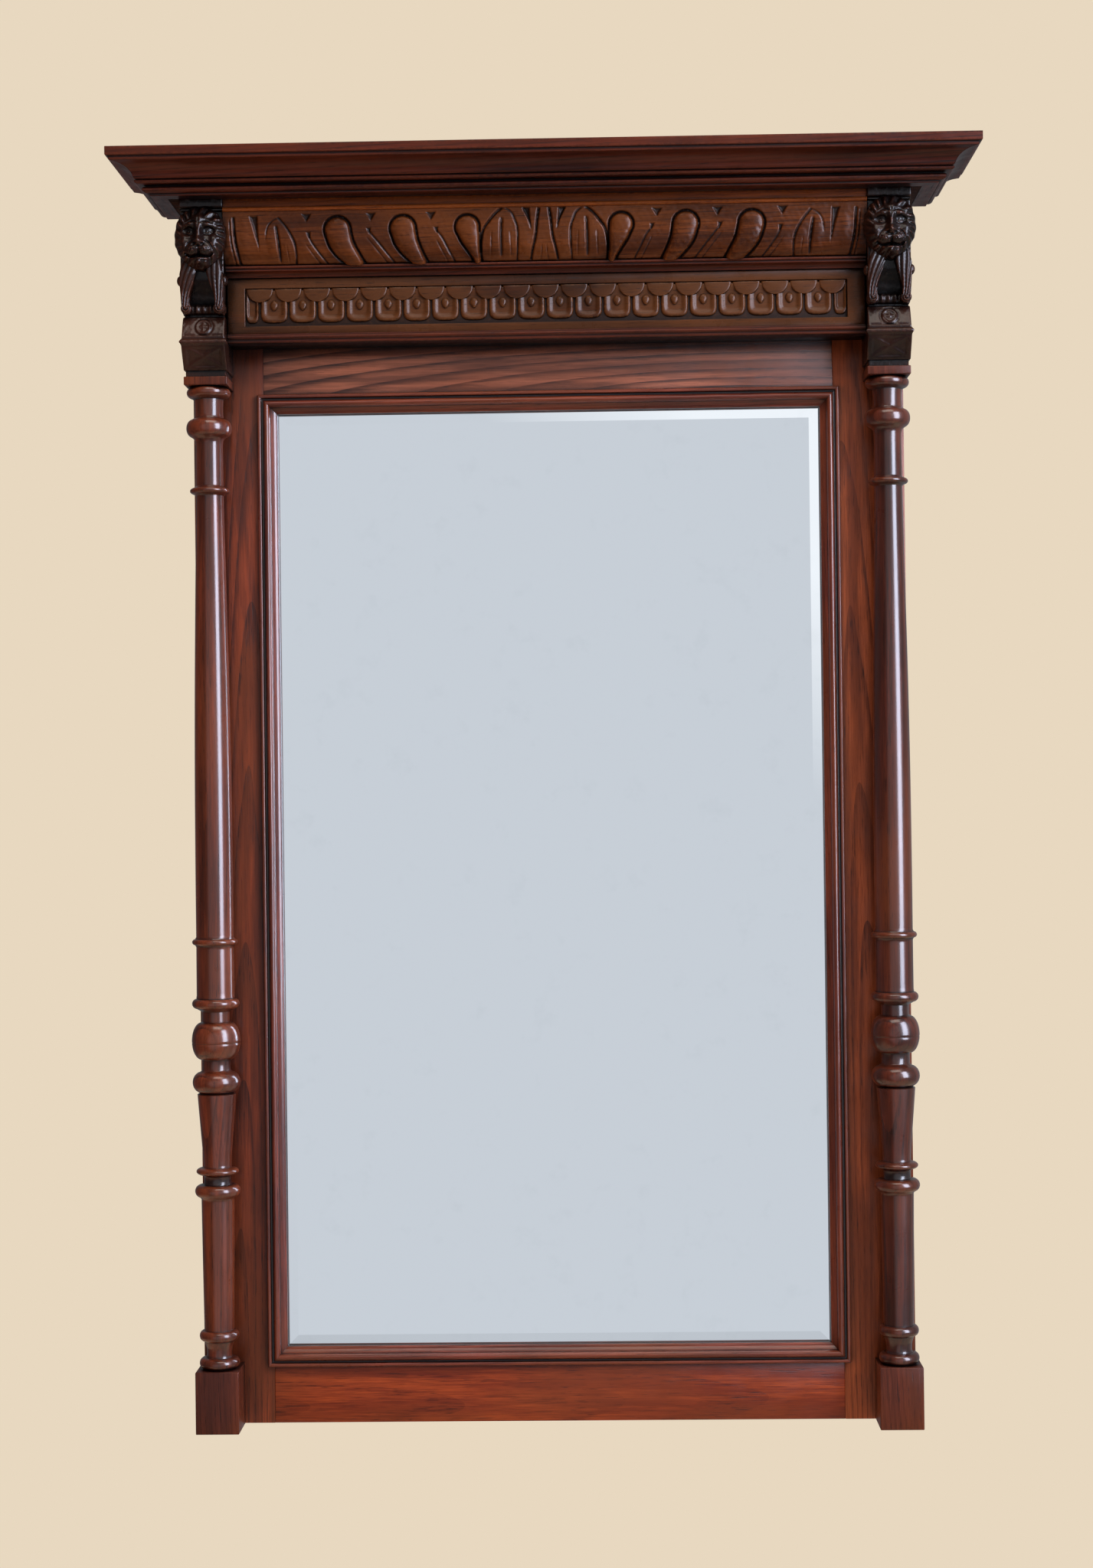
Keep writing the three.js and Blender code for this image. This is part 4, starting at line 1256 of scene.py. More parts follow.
@dataclass
class Carving:
    """A field of depths over a flat drawing, in millimetres.

    Attributes:
        x: Across, on a grid.
        z: Down or up, on the same grid.
        rise: Height of the surface above the plain ground.
    """

    x: Array
    z: Array
    rise: Array

    @classmethod
    def on(cls, x: Array, z: Array) -> "Carving":
        """Starts a plain field on a grid."""
        return cls(x, z, np.zeros_like(x))

    def window(self, points: Sequence[Point2], margin: float) -> Array:
        """Mask of the grid near some points."""
        p = np.array(points)
        low, high = p.min(0) - margin, p.max(0) + margin
        return (self.x > low[0]) & (self.x < high[0]) & (self.z > low[1]) & (self.z < high[1])

    def cut(self, points: Sequence[Point2], width: float, depth: float, taper: float = 0.35) -> None:
        """Cuts a V groove along a smooth line.

        Args:
            points: Points on the line.
            width: Half width of the groove.
            depth: Its depth.
            taper: Share of the depth that is left at both ends.
        """
        line = np.array(flow(points, 3.0))
        near = self.window(line, 3 * width)
        x, z = self.x[near], self.z[near]
        closest, where = np.full(x.shape, 1e9), np.zeros(x.shape)
        steps = len(line) - 1
        for i in range(steps):
            a, b = line[i], line[i + 1]
            d = b - a
            t = np.clip(((x - a[0]) * d[0] + (z - a[1]) * d[1]) / max(float(d @ d), 1e-9), 0, 1)
            far = np.hypot(x - a[0] - t * d[0], z - a[1] - t * d[1])
            better = far < closest
            closest = np.where(better, far, closest)
            where = np.where(better, (i + t) / steps, where)
        fade = taper + (1 - taper) * np.sqrt(np.clip(np.sin(math.pi * where), 0, 1))
        groove = np.clip(1 - closest / width, 0, 1) ** 1.2
        self.rise[near] -= depth * fade * groove

    def tongue(self, spine: Sequence[tuple[float, float, float]], swell: float, groove: float) -> None:
        """Carves a round-topped tongue along a curved spine, with a groove round it.

        Args:
            spine: Points from the round end to the foot, each with the tongue's half width.
            swell: Height of the tongue's middle over its rim.
            groove: Depth of the groove.
        """
        middle = np.array(flow([(a, b) for a, b, _ in spine], 2.0))
        step = np.linspace(0, len(spine) - 1, len(middle))
        half = np.interp(step, range(len(spine)), [r for _, _, r in spine])
        near = self.window([(a, b) for a, b, _ in spine], max(half) + 6)
        x, z = self.x[near], self.z[near]
        share, radius = np.full(x.shape, 9.0), np.ones(x.shape)
        for (a, b), r in zip(middle, half):
            now = np.hypot(x - a, z - b) / r
            radius = np.where(now < share, r, radius)
            share = np.minimum(share, now)
        body = swell * np.sqrt(np.clip(1 - share**2, 0, 1))
        self.rise[near] += body - groove * np.clip(1 - np.abs(share - 1) * radius / 2.7, 0, 1) ** 1.1

    def wedge(self, left: Point2, right: Point2, tip: Point2, depth: float) -> None:
        """Cuts a three-sided chip, deepest along its middle.

        Args:
            left: Corner on the left.
            right: Corner on the right.
            tip: The third corner.
            depth: Depth at which the chip's floor is flat.
        """
        near = self.window([left, right, tip], 2)
        x, z = self.x[near], self.z[near]
        sides = []
        for a, b in ((left, right), (right, tip), (tip, left)):
            d = np.array(b) - np.array(a)
            sides.append(((x - a[0]) * d[1] - (z - a[1]) * d[0]) / float(np.hypot(*d)))
        sign = np.sign((right[0] - left[0]) * (tip[1] - left[1]) - (right[1] - left[1]) * (tip[0] - left[0]))
        inside = np.min([-sign * s for s in sides], axis=0)
        self.rise[near] -= np.clip(inside, 0, depth)

    def bump(self, x: float, z: float, wide: float, high: float, rise: float) -> None:
        """Adds a soft mound, or a soft hollow if the rise is below 0."""
        self.rise += rise * np.exp(-(((self.x - x) / wide) ** 2) - ((self.z - z) / high) ** 2)

    def tool_marks(self, amount: float, size: float, seed: int) -> None:
        """Adds the faint waves that a gouge leaves.

        Args:
            amount: Height of the waves.
            size: Their usual length.
            seed: Start of the random numbers.
        """
        rng = np.random.default_rng(seed)
        count = 14
        for _ in range(count):
            angle, phase = rng.uniform(0, math.pi), rng.uniform(0, math.tau)
            length = size * rng.uniform(0.6, 1.8)
            wave = np.sin((self.x * math.cos(angle) + self.z * math.sin(angle)) * math.tau / length + phase)
            self.rise += amount / count * 2 * wave


@dataclass
class Frieze:
    """The entablature between the brackets, from its lower moulding to the plain fillet.

    Attributes:
        half: Half of its length.
        back: y of the back of its boards, as a depth in front of the frame.
        base_level: Lower edge of the base moulding.
        architrave_level: Lower edge of the small moulding over it.
        ovolo_level: Lower edge of the carved ovolo.
        fillet_level: Lower edge of the bead and fillet.
        field_half: Half of the length of the sunk field.
        field_low: Lower edge of the field.
        field_high: Upper edge of the field.
        scale_count: Number of upper scales.
        panel_face: y of the ground of the scales.
        curve_foot: Distance of the ovolo's foot in front of the frame.
        curve_depth: How far the ovolo swells out.
        curve_height: Height of the ovolo.
    """

    half: float = 411.7
    back: float = 32.0
    base_level: float = 1408.0
    architrave_level: float = 1492.0
    ovolo_level: float = 1505.0
    fillet_level: float = 1571.0
    field_half: float = 388.4
    field_low: float = 1430.3
    field_high: float = 1478.7
    scale_count: int = 21
    panel_face: float = -45.4
    curve_foot: float = 58.0
    curve_depth: float = 24.0
    curve_height: float = 66.0

    GADROONS: ClassVar[tuple[tuple[tuple[float, float, float], ...], ...]] = (
        ((-265, 24.5, 16.6), (-261.5, 38, 15.6), (-255.5, 49, 13.4), (-247, 59, 10.6), (-239, 68, 8.0)),
        ((-181, 24.0, 16.4), (-177.5, 38, 15.2), (-171.5, 49, 12.8), (-164, 59, 9.8), (-157, 68, 7.0)),
        ((-98.5, 23.5, 15.2), (-95, 36, 13.0), (-91, 48, 9.6), (-87.5, 58, 6.4), (-85, 67, 3.6)),
    )

    def strip(self, outline: Sequence[Point2], level: float) -> Mesh:
        """Makes a straight strip along the frieze.

        Args:
            outline: Section as y and height over the level.
            level: Height of the strip's lower edge.

        Returns:
            The mesh.
        """
        profile = even(ease(outline, 0.5), 1.2)
        form = Form().bar(profile, lambda y, z, end: ((1 if end else -1) * self.half, y, z + level))
        mesh = form.bake("strip", 30, 1.2)
        # painted shade: the underside is marked as a full hollow, so that the material darkens it as shade
        # under the overhang
        under = read(mesh.vertices, "co", 3)[:, 2] < (level + 0.3 - MIDDLE_HEIGHT) * 0.001
        relief = read(mesh.attributes["relief"].data, "value", 1)[:, 0]
        set_relief(mesh, np.where(under, 1.0, relief))
        return mesh

    def mouldings(self, finishes: Finishes) -> None:
        """Makes the base moulding, the architrave moulding and the fillet with its bead.

        Args:
            finishes: The mirror's finishes.
        """
        b = -self.back
        base = [
            (b, 0.0),
            (-46.0, 0.0),
            (-49.0, 1.5),
            (-49.0, 4.5),
            *arc(-49.5, 8.0, 2.5, 2.5, 255, 105, 9),
            (-50.0, 11.2),
            (-50.0, 12.0),
            (b, 12.0),
        ]
        architrave = [
            (b, 0.0),
            (-53.0, 0.0),
            *flow([(-54.0, 3.0), (-55.6, 4.6), (-58.0, 6.0)], 0.7),
            (-62.0, 7.0),
            (-62.0, 9.5),
            (-65.0, 10.5),
            (-65.0, 13.0),
            (b, 13.0),
        ]
        fillet = [
            (b, 0.0),
            (-82.0, 0.0),
            *arc(-82.0, 3.0, 3.0, 3.0, 255, 105, 9),
            (-80.4, 6.2),
            (-80.0, 6.8),
            (-80.0, 17.0),
            (b, 17.0),
        ]
        dark = finishes.cornice_across
        for node, outline, level, finish, slot in (
            ("frieze_base_moulding", base, self.base_level, dark, "oak_cornice"),
            ("architrave_moulding", architrave, self.architrave_level, dark, "oak_cornice"),
            ("frieze_fillet", fillet, self.fillet_level, finishes.fillet, "oak_carving"),
        ):
            hand_over(f"oak_{node}", self.strip(outline, level), slot, finish, node)

    def leaves(self, carved: Carving, side: float) -> None:
        """Cuts one half of the pattern, given as x from the middle and distance under the top edge.

        Args:
            carved: The ovolo's field.
            side: -1 for the left half and 1 for the right half.
        """

        def line(*points: Point2) -> list[Point2]:
            """Points of the left half, turned over for the right half."""
            return [(-side * x, v) for x, v in points]

        cut, wedge = carved.cut, carved.wedge
        # trunk in the middle, and the chips beside it
        cut(line((-6.3, -1), (-8.8, 16), (-10.8, 35), (-15, 52), (-17.2, 63)), 2.7, 3.2, 0.9)
        cut(line((-2.9, 46), (-3.6, 56), (-5.0, 64)), 1.2, 1.0)
        wedge(*line((-29.4, -1), (-17.6, -1), (-16.1, 25)), 3.0)
        cut(line((-27, -1), (-20.5, 12), (-16.5, 27)), 2.0, 1.6)
        # leaf beside the trunk
        leaf_edge = line((-50.9, -2), (-61.7, 6.6), (-71.5, 18), (-78.3, 28.3), (-81.3, 41), (-82.4, 54))
        cut(leaf_edge, 2.8, 3.4, 0.7)
        cut(line((-50.9, -1), (-42, 5.7), (-37.6, 15), (-33.8, 30), (-35.2, 64)), 2.2, 2.3, 0.5)
        cut(line((-54.2, 13.9), (-55.2, 30.2), (-55.2, 58)), 3.3, 3.2, 0.5)
        cut(line((-67.5, 30), (-68.5, 58)), 1.5, 1.2)
        cut(line((-43.5, 30), (-42.5, 59)), 1.5, 1.1)
        # gadroons, each curving towards the middle at its foot
        for spine in self.GADROONS:
            carved.tongue([(-side * x, v, half) for x, v, half in spine], 5.8, 3.2)
        # chips at the upper edge, and the darts that run down from under them
        for x, points in (
            (-304.4, ((-302.5, 30), (-298, 40), (-288, 54), (-277, 67))),
            (-221.7, ((-225.2, 26), (-219.5, 33), (-211.9, 42), (-198.7, 58), (-191, 67))),
            (-144.5, ((-138.6, 26), (-130.2, 37), (-123.8, 49.4), (-114.5, 66))),
        ):
            wedge(*line((x - 7.5, 3), (x + 7.5, 3), (x, 15.5)), 2.6)
            a, b = points[0]
            wedge(*line((a - 4, b - 4), (a + 4, b - 4), (a + 2, b + 7)), 1.8)
            cut(line(*points), 2.1, 2.0, 0.5)
            cut(line(*[(a - 7.5, b + 2) for a, b in points[1:]]), 1.5, 1.1, 0.3)
        # half leaf, dart and flute at the end
        cut(line((-340.3, 8.5), (-329.3, 22.3), (-320.7, 38.7), (-318.5, 54), (-319.5, 68)), 2.3, 2.6, 0.5)
        cut(line((-341, 8.5), (-349.5, 13), (-355.4, 22), (-357.3, 36)), 1.7, 1.5, 0.3)
        cut(line((-343.6, 19.8), (-340.8, 38.7), (-339.1, 61)), 3.2, 3.2, 0.5)
        cut(line((-330.5, 42), (-328, 62)), 1.3, 1.0)
        wedge(*line((-378.5, 5), (-366.5, 5), (-365.2, 53)), 3.0)
        cut(line((-398.4, 8), (-396.5, 39), (-390.6, 68)), 2.7, 2.8, 0.7)
        cut(line((-403.5, 9), (-401.8, 39), (-396.8, 66)), 1.5, 1.3)
        for x, v, wide, high, rise in (
            (-62.0, 34.0, 10.0, 22.0, 1.6),
            (-46.0, 40.0, 6.0, 20.0, 1.2),
            (-25.0, 46.0, 7.0, 18.0, 1.4),
            (-349.0, 40.0, 6.0, 18.0, 1.2),
            (-330.0, 44.0, 6.0, 18.0, 1.0),
            (-307.0, 50.0, 9.0, 20.0, 0.9),
            (-384.0, 34.0, 6.0, 26.0, 1.0),
        ):
            carved.bump(-side * x, v, wide, high, rise)

    def ovolo(self, finishes: Finishes) -> None:
        """Makes the convex board with its carving.

        Args:
            finishes: The mirror's finishes.
        """
        foot, depth, height = self.curve_foot, self.curve_depth, self.curve_height
        across = np.linspace(-self.half, self.half, 880)
        turn = np.radians(np.linspace(1.5, 90, 84))
        # even steps along the curve
        y, z = -(foot + depth * np.sin(turn)), -height * np.cos(turn)
        length = np.concatenate([[0], np.cumsum(np.hypot(np.diff(y), np.diff(z)))])
        x, t = np.meshgrid(across, np.interp(np.linspace(0, length[-1], 84), length, turn), indexing="ij")
        carved = Carving.on(x, height * np.cos(t))
        for side in SIDES.values():
            self.leaves(carved, side)
        carved.tool_marks(0.22, 9.0, 11)
        steep = np.stack([np.zeros_like(t), -height * np.sin(t), -depth * np.cos(t)], axis=-1)
        steep /= np.linalg.norm(steep, axis=-1, keepdims=True)
        edge = smoothstep(0, 1.5, carved.z) * smoothstep(0, 2.5, height - carved.z)
        rise = np.minimum(carved.rise, 6.0) * edge * smoothstep(0, 2.0, self.half - np.abs(x))
        surface = np.stack([x, -(foot + depth * np.sin(t)), self.fillet_level - height * np.cos(t)], axis=-1)
        behind = (-self.back, self.fillet_level), (-self.back, self.ovolo_level), (-57.0, self.ovolo_level)
        back = np.array([[(a, *point) for point in behind] for a in across])
        rings = np.concatenate([surface + steep * rise[..., None], back], axis=1)
        mesh = Form().tube(rings).bake("ovolo", 60, 1.8)
        self.paint_light_by_height(mesh)
        hand_over("oak_frieze_ovolo", mesh, "oak_carving", finishes.carving, "frieze_ovolo")

    def paint_light_by_height(self, mesh: Mesh) -> None:
        """Adds the carving's height over the plain curve to the relief attribute of the ovolo, so that the
        cuts take painted shade and the raised parts a little painted highlight.

        Args:
            mesh: The ovolo's mesh.
        """
        place = read(mesh.vertices, "co", 3) * 1000
        u = (-self.curve_foot - FACE_TO_WALL - place[:, 1]) / self.curve_depth
        w = (self.fillet_level - MIDDLE_HEIGHT - place[:, 2]) / self.curve_height
        reach = np.hypot(u, w)
        rise = (reach - 1) * reach / (np.hypot(u / self.curve_depth, w / self.curve_height) + 1e-6)
        rise = np.where(place[:, 1] < -80, np.clip(rise, -4, 5), 0)
        relief = read(mesh.attributes["relief"].data, "value", 1)[:, 0]
        # painted shade in the cuts, and a little painted highlight on the raised parts
        set_relief(mesh, 0.9 * relief - np.where(rise > 0, 0.03, 0.16) * rise)

    def pocket(self) -> Array:
        """Outline of a lower scale with a squared foot, as x and height from the row's line."""
        wide, low, foot = 17.6, 29.0, 44.4

        def squared(wave: float) -> float:
            """Sine or cosine drawn out towards a square."""
            return math.copysign(abs(wave) ** 0.62, wave)

        turns = np.radians(np.linspace(180, 360, 27))
        bottom = [(wide * squared(math.cos(t)), -low + (foot - low) * squared(math.sin(t))) for t in turns]
        return np.array([*bottom, (wide, -low / 2), (wide, 0.0), (-wide, 0.0), (-wide, -low / 2)])

    def scales(self, finishes: Finishes) -> None:
        """Makes the ground of the scale panel, its three rows and the cut scales at its ends.

        Args:
            finishes: The mirror's finishes.
        """
        line, face = self.field_high - 0.2, self.panel_face

        def add(name: str, mesh: Mesh) -> None:
            """Hands over one part of the panel."""
            hand_over(f"oak_{name}", mesh, "oak_carving", finishes.panel, "frieze_scale_panel")

        def crown(x: Array, z: Array, s: Array) -> Array:
            """Rise of an upper scale."""
            return 2.9 + 1.4 * np.sqrt(1 - 0.98 * s**2) - 1.5 * smoothstep(0.93, 1, s)

        def dish(x: Array, z: Array, s: Array) -> Array:
            """Rise of a lower scale: hollow within a raised rim."""
            return 0.5 + 2.3 * smoothstep(0.45, 0.82, s) - 2.4 * smoothstep(0.88, 1, s)

        def bead(x: Array, z: Array, s: Array) -> Array:
            """Rise of a drop between two scales."""
            return 0.6 + 3.2 * np.sqrt(1 - 0.97 * s**2)

        wide, back = self.field_half, face + 0.4
        edge = [(-wide, back), (-wide, face), (wide, face), (wide, back)]
        ground = Form().tube([[(x, y, z) for x, y in edge] for z in (self.field_low, self.field_high)])
        mesh = ground.bake("scale_ground", 34, None)
        # painted shade: the ground is marked as a hollow all over, so that the material darkens it as shade
        # between the scales
        set_relief(mesh, np.full(len(mesh.vertices), 0.4))
        add("scale_ground", mesh)
        pitch = 2 * self.field_half / self.scale_count
        half = pitch / 2 - 0.3
        bowl = [(half * math.cos(t), 17.8 * math.sin(t)) for t in np.radians(np.linspace(180, 360, 27))]
        bowl = np.array([*bowl, *((half * share, 0.0) for share in (0.6, 0.2, -0.2, -0.6))])
        c, s = np.cos(round_angles(24)), np.sin(round_angles(24))
        drop = np.stack([(5.2 - 1.6 * np.maximum(0, -s)) * c, 6.8 * s], axis=1)
        pocket = self.pocket()
        recipe = Row()
        for name, outline, centre, rise, rings, count, first, y, level in (
            ("upper_scales", bowl, -7.0, crown, 12, self.scale_count, 0.5, face, line),
            ("lower_scales", pocket, -25.0, dish, 16, self.scale_count - 1, 1.0, face, line),
            ("scale_tongues", drop, -1.0, bead, 8, self.scale_count - 1, 1.0, face - 0.2, line - 21.6),
        ):
            tile = Form().dome(outline, (0, centre), rise, 0.0, rings=rings).pattern(name, 50, 1.6)
            start = to_row([-self.field_half + first * pitch, y, level]).tolist()
            row = {"Count": count, "First": start, "Step": (pitch * 0.001, 0.0, 0.0)}
            values = {**row, "Tile": tile, "Material": finishes.panel}
            add(name, recipe.run(name, bpy.data.meshes.new("seed"), values))
        ends = Form()
        for sign in SIDES.values():
            middle = sign * (self.field_half - 8.6)
            cut = pocket * (0.47, 1.0) + (middle, line)
            ends.dome(cut, (middle, line - 25.0), dish, face + 0.2, base=face, rings=12)
        add("scale_ends", ends.bake("scale_ends", 50, 1.6))

    def build(self, finishes: Finishes) -> None:
        """Makes all parts of the frieze."""
        self.mouldings(finishes)
        board = eased_copy("frieze_board", 0.9)
        hand_over("oak_frieze_board", board, "oak_carving", finishes.panel, "frieze_board")
        self.scales(finishes)
        self.ovolo(finishes)


@dataclass
class Bracket:
    """Carved bracket over a column, with an animal mask under its top moulding.

    Attributes:
        axis_x: Distance of its middle from the middle of the mirror.
        foot: Height of its foot.
        height: Its height.
        mask_middle: Height of the head's middle.
        rim: y of the head's rim.
        head_half: Half of the head's width.
    """

    axis_x: float = 440.0
    foot: float = 1365.0
    height: float = 223.0
    mask_middle: float = 1535.0
    rim: float = -86.4
    head_half: float = 33.0

    def front(self) -> list[Point2]:
        """Front outline as y and height over the foot."""
        return [
            (-54.0, 0.0),
            (-54.0, 7.6),
            (-57.6, 8.0),
            *flow([(-58.0, 8.6), (-66.0, 20.0), (-73.0, 30.0), (-76.6, 36.6)], 1.2),
            *arc(-76.0, 41.5, 4.0, 3.6, 236, 124, 8),
            (-75.2, 46.4),
            (-75.6, 47.6),
            *flow([(-75.4, 49.0), (-71.0, 60.0), (-66.0, 71.0), (-62.6, 75.2)], 1.2),
            (-59.0, 76.6),
            *arc(-58.0, 85.5, 8.0, 7.2, 258, 102, 14),
            *flow([(-58.4, 93.6), (-60.6, 98), (-64, 106), (-69, 114), (-73.6, 122), (-76, 132)], 1.4),
            (-76.0, 160.0),
            (-76.0, 207.6),
            (-77.4, 208.8),
            (-79.0, 209.4),
            (-79.0, 211.0),
            *arc(-80.0, 215.6, 3.8, 4.2, 256, 182, 8),
            (-84.0, 217.6),
            (-84.0, 222.6),
            (-83.6, 223.0),
        ]

    def width_at(self, z: Array) -> Array:
        """Half width at each height over the foot."""
        levels = [0, 7.6, 8.2, 46, 47, 75, 76.5, 78, 92, 94, 126, 130, 208, 209, 223]
        halves = [26, 26, 28, 28, 27.4, 27.2, 26, 25.4, 25.4, 26, 26, 27.6, 27.6, 28, 28]
        return np.interp(z, levels, halves)

    def panels(self, x: Array, z: Array) -> Array:
        """Carves the front: the saltire below, the roundel over it, and the ribs of the roll.

        Args:
            x: Across, from the bracket's middle.
            z: Up, from its foot.

        Returns:
            Height of the surface over the plain front.
        """
        carved = Carving.on(x, z)
        # four sunk triangles leave the bands of the saltire standing
        middle, wide, tall = 23.0, 22.5, 11.5
        sunk = smoothstep(0, 1.2, wide - np.abs(x)) * smoothstep(0, 1.2, tall - np.abs(z - middle))
        lean = (z - middle) * wide / tall
        bands = np.maximum(*[np.exp(-(((x - sign * lean) / 5.0) ** 2)) for sign in SIDES.values()])
        carved.rise -= 1.1 * sunk * (1 - bands)
        # a raised ring and a groove round four petals
        up = z - 61.5
        spread = np.hypot(x, up)
        for radius, wide, rise in ((8.6, 1.5, 1.4), (11.6, 1.2, -1.0)):
            carved.rise += rise * np.exp(-(((spread - radius) / wide) ** 2))
        petals = 1 + 0.5 * np.cos(4 * np.arctan2(up, x))
        carved.rise += 1.5 * np.exp(-((spread / (3.6 * petals)) ** 2))
        for level in (50.5, 72.5):
            carved.cut([(-24, level), (24, level)], 1.1, 0.8, 1.0)
        roll = smoothstep(78, 80, z) * (1 - smoothstep(91, 93, z))
        carved.rise += roll * 0.9 * np.cos(x * math.tau / 8.6) * (1 - smoothstep(21, 24, np.abs(x)))
        carved.tool_marks(0.16, 7.0, 5)
        return carved.rise

    def body(self) -> Form:
        """Skins the bracket's body over level sections.

        Returns:
            The body, from its foot at 0 up.
        """
        outline = np.array(even(self.front() + [(0.0, self.height), (0.0, 0.0)], 1.2))
        outline = outline[: int(np.argmax(outline[:, 1] >= self.height - 0.01)) + 1]
        depth = -outline[:, 0]
        # no two sections lie at one height
        z = np.maximum.accumulate(outline[:, 1]) + np.arange(len(outline)) * 1e-5
        half = self.width_at(z)
        share = np.linspace(-1, 1, 45)
        x = share * (half[:, None] - 0.9)
        face = depth[:, None] + self.panels(x, np.repeat(z[:, None], 45, 1)) * (np.abs(share) < 0.995)
        rings = []
        for i, level in enumerate(z):
            side = np.linspace(0, max(depth[i] - 0.9, 1.0), 12)
            bead = 2.4 * np.exp(-(((level - 41.5) / 2.6) ** 2)) * smoothstep(56, 60, side)
            out = half[i] + bead - 0.9 * self.scroll_line(side, level, depth[i])
            left, right = (np.stack([sign * out, -side], axis=1) for sign in SIDES.values())
            section = np.concatenate([left, np.stack([x[i], -face[i]], axis=1), right[::-1]])
            rings.append(np.column_stack([section, np.full(len(section), level)]))
        return Form().tube(rings)

    def scroll_line(self, y: Array, z: float, depth: float) -> Array:
        """Groove on the side, which follows the front outline."""
        held = smoothstep(10, 14, z) * (1 - smoothstep(200, 204, z))
        return held * np.exp(-(((depth - y - 9.0) / 2.4) ** 2))

    def volutes(self, form: Form) -> None:
        """Adds the scroll ends beside the roll, seen from the side and from the front.

        Args:
            form: The bracket's body.
        """
        turns = round_angles(40)
        for sign in SIDES.values():
            rings = []
            for share in np.linspace(1e-3, 1, 15):
                groove = 0.5 + 0.5 * np.cos(turns - share * 4.6 * math.pi)
                out = 25.6 + 2.3 * (1 - share**6) - 0.9 * groove * smoothstep(0.15, 0.3, share)
                y, z = -60 + 8.2 * share * np.cos(turns), 85.5 + 8.2 * share * np.sin(turns)
                rings.append(np.stack([sign * out, y, z], axis=1))
            root = rings[-1].copy()
            root[:, 0] = sign * 18
            form.tube([*rings, root])

    def head_rise(self, x: Array, z: Array, share: Array) -> Array:
        """Relief of the animal's head in front of its rim.

        Args:
            x: Across, from the head's middle.
            z: Up, from the head's middle.
            share: Distance from the middle as a share of the way to the rim.

        Returns:
            Height in millimetres.
        """
        f = Carving.on(x, z)
        f.rise += 15.0 * np.sqrt(np.clip(1 - share**2.2, 0, 1)) + 0.6
        for s in SIDES.values():
            for a, c, wide, high, rise in (
                (11.5, 16.0, 8.0, 4.6, 5.2),
                (13.0, 8.5, 7.0, 4.4, -7.0),
                (12.2, 7.8, 3.6, 2.8, 4.8),
                (12.2, 7.6, 1.1, 1.1, -1.4),
                (5.2, -9.0, 2.4, 1.7, -3.0),
                (8.4, -15.5, 8.0, 6.6, 6.6),
                (20.0, -7.0, 6.5, 11.0, 4.4),
                (24.5, 26.0, 6.0, 8.0, 6.5),
                (24.5, 26.0, 2.8, 4.6, -4.4),
            ):
                f.bump(s * a, c, wide, high, rise)
            f.cut([(s * 2.0, 19.0), (s * 9.0, 21.5), (s * 18.0, 17.0)], 1.5, 1.6)
            f.cut([(s * 6.5, 5.0), (s * 12.0, 3.6), (s * 19.0, 6.8)], 1.2, 1.3)
            f.cut([(s * 7.0, 10.5), (s * 12.5, 12.8), (s * 19.5, 9.5)], 1.2, 1.5)
            f.cut([(0.0, -22.2), (s * 6.0, -23.8), (s * 12.5, -23.2), (s * 17.0, -20.0)], 2.2, 4.8, 0.8)
            f.cut([(s * 8.0, -4.0), (s * 14.0, -8.0), (s * 17.5, -16.0)], 1.6, 1.6)
            for k in range(3):
                f.bump(s * (6.5 + 3.4 * k), -16.0 + 1.2 * k, 0.8, 0.8, -0.9)
                f.bump(s * (8.2 + 3.2 * k), -19.0 + 1.0 * k, 0.8, 0.8, -0.8)
        for a, c, wide, high, rise in (
            (0.0, 8.0, 4.4, 13.0, 6.0),
            (0.0, -5.5, 7.4, 5.4, 7.6),
            (0.0, 25.0, 10.0, 7.0, 4.6),
            (0.0, 20.0, 1.5, 8.0, -1.6),
            (0.0, -18.5, 1.4, 4.0, -3.2),
            (0.0, -31.0, 8.0, 4.0, 6.6),
            (0.0, -27.0, 10.5, 1.7, 3.6),
            (0.0, -11.5, 5.0, 1.3, -2.4),
        ):
            f.bump(a, c, wide, high, rise)
        angle = np.arctan2(z, x)
        locks = np.cos(21 * angle + 9 * share + 1.4 * np.sin(3 * angle))
        f.rise += 1.9 * locks * smoothstep(0.66, 0.84, share) * (1 - smoothstep(0.93, 1.0, share))
        f.tool_marks(0.25, 6.0, 23)
        return np.clip(f.rise, 0.2, 29.8) * (1 - 0.9 * smoothstep(0.975, 1.0, share))

    def head(self) -> Form:
        """Makes the animal's head as one closed body.

        Returns:
            The head, its middle at the origin in x and z.
        """
        turns = round_angles(208)
        c, s = np.cos(turns), np.sin(turns)
        up = np.where(s > 0, 41.5, 39.0) * np.sign(s) * np.abs(s) ** 0.92
        narrow = 1 - 0.3 * np.clip(-s, 0, 1) ** 1.6
        wide = self.head_half * np.sign(c) * np.abs(c) ** 0.82 * narrow
        wavy = 1 + 0.012 * np.cos(21 * turns)
        outline = np.stack([wide * wavy, up * wavy], axis=1)
        return Form().dome(outline, (0, -4.0), self.head_rise, -68.0, base=self.rim, rings=64, squeeze=27.0)

    def locks(self, form: Form) -> None:
        """Adds the locks that fall from the cheeks to small scrolls, and a curl at each side.

        Args:
            form: The mask.
        """
        turns = round_angles(36)
        c, s = np.cos(turns), np.sin(turns)
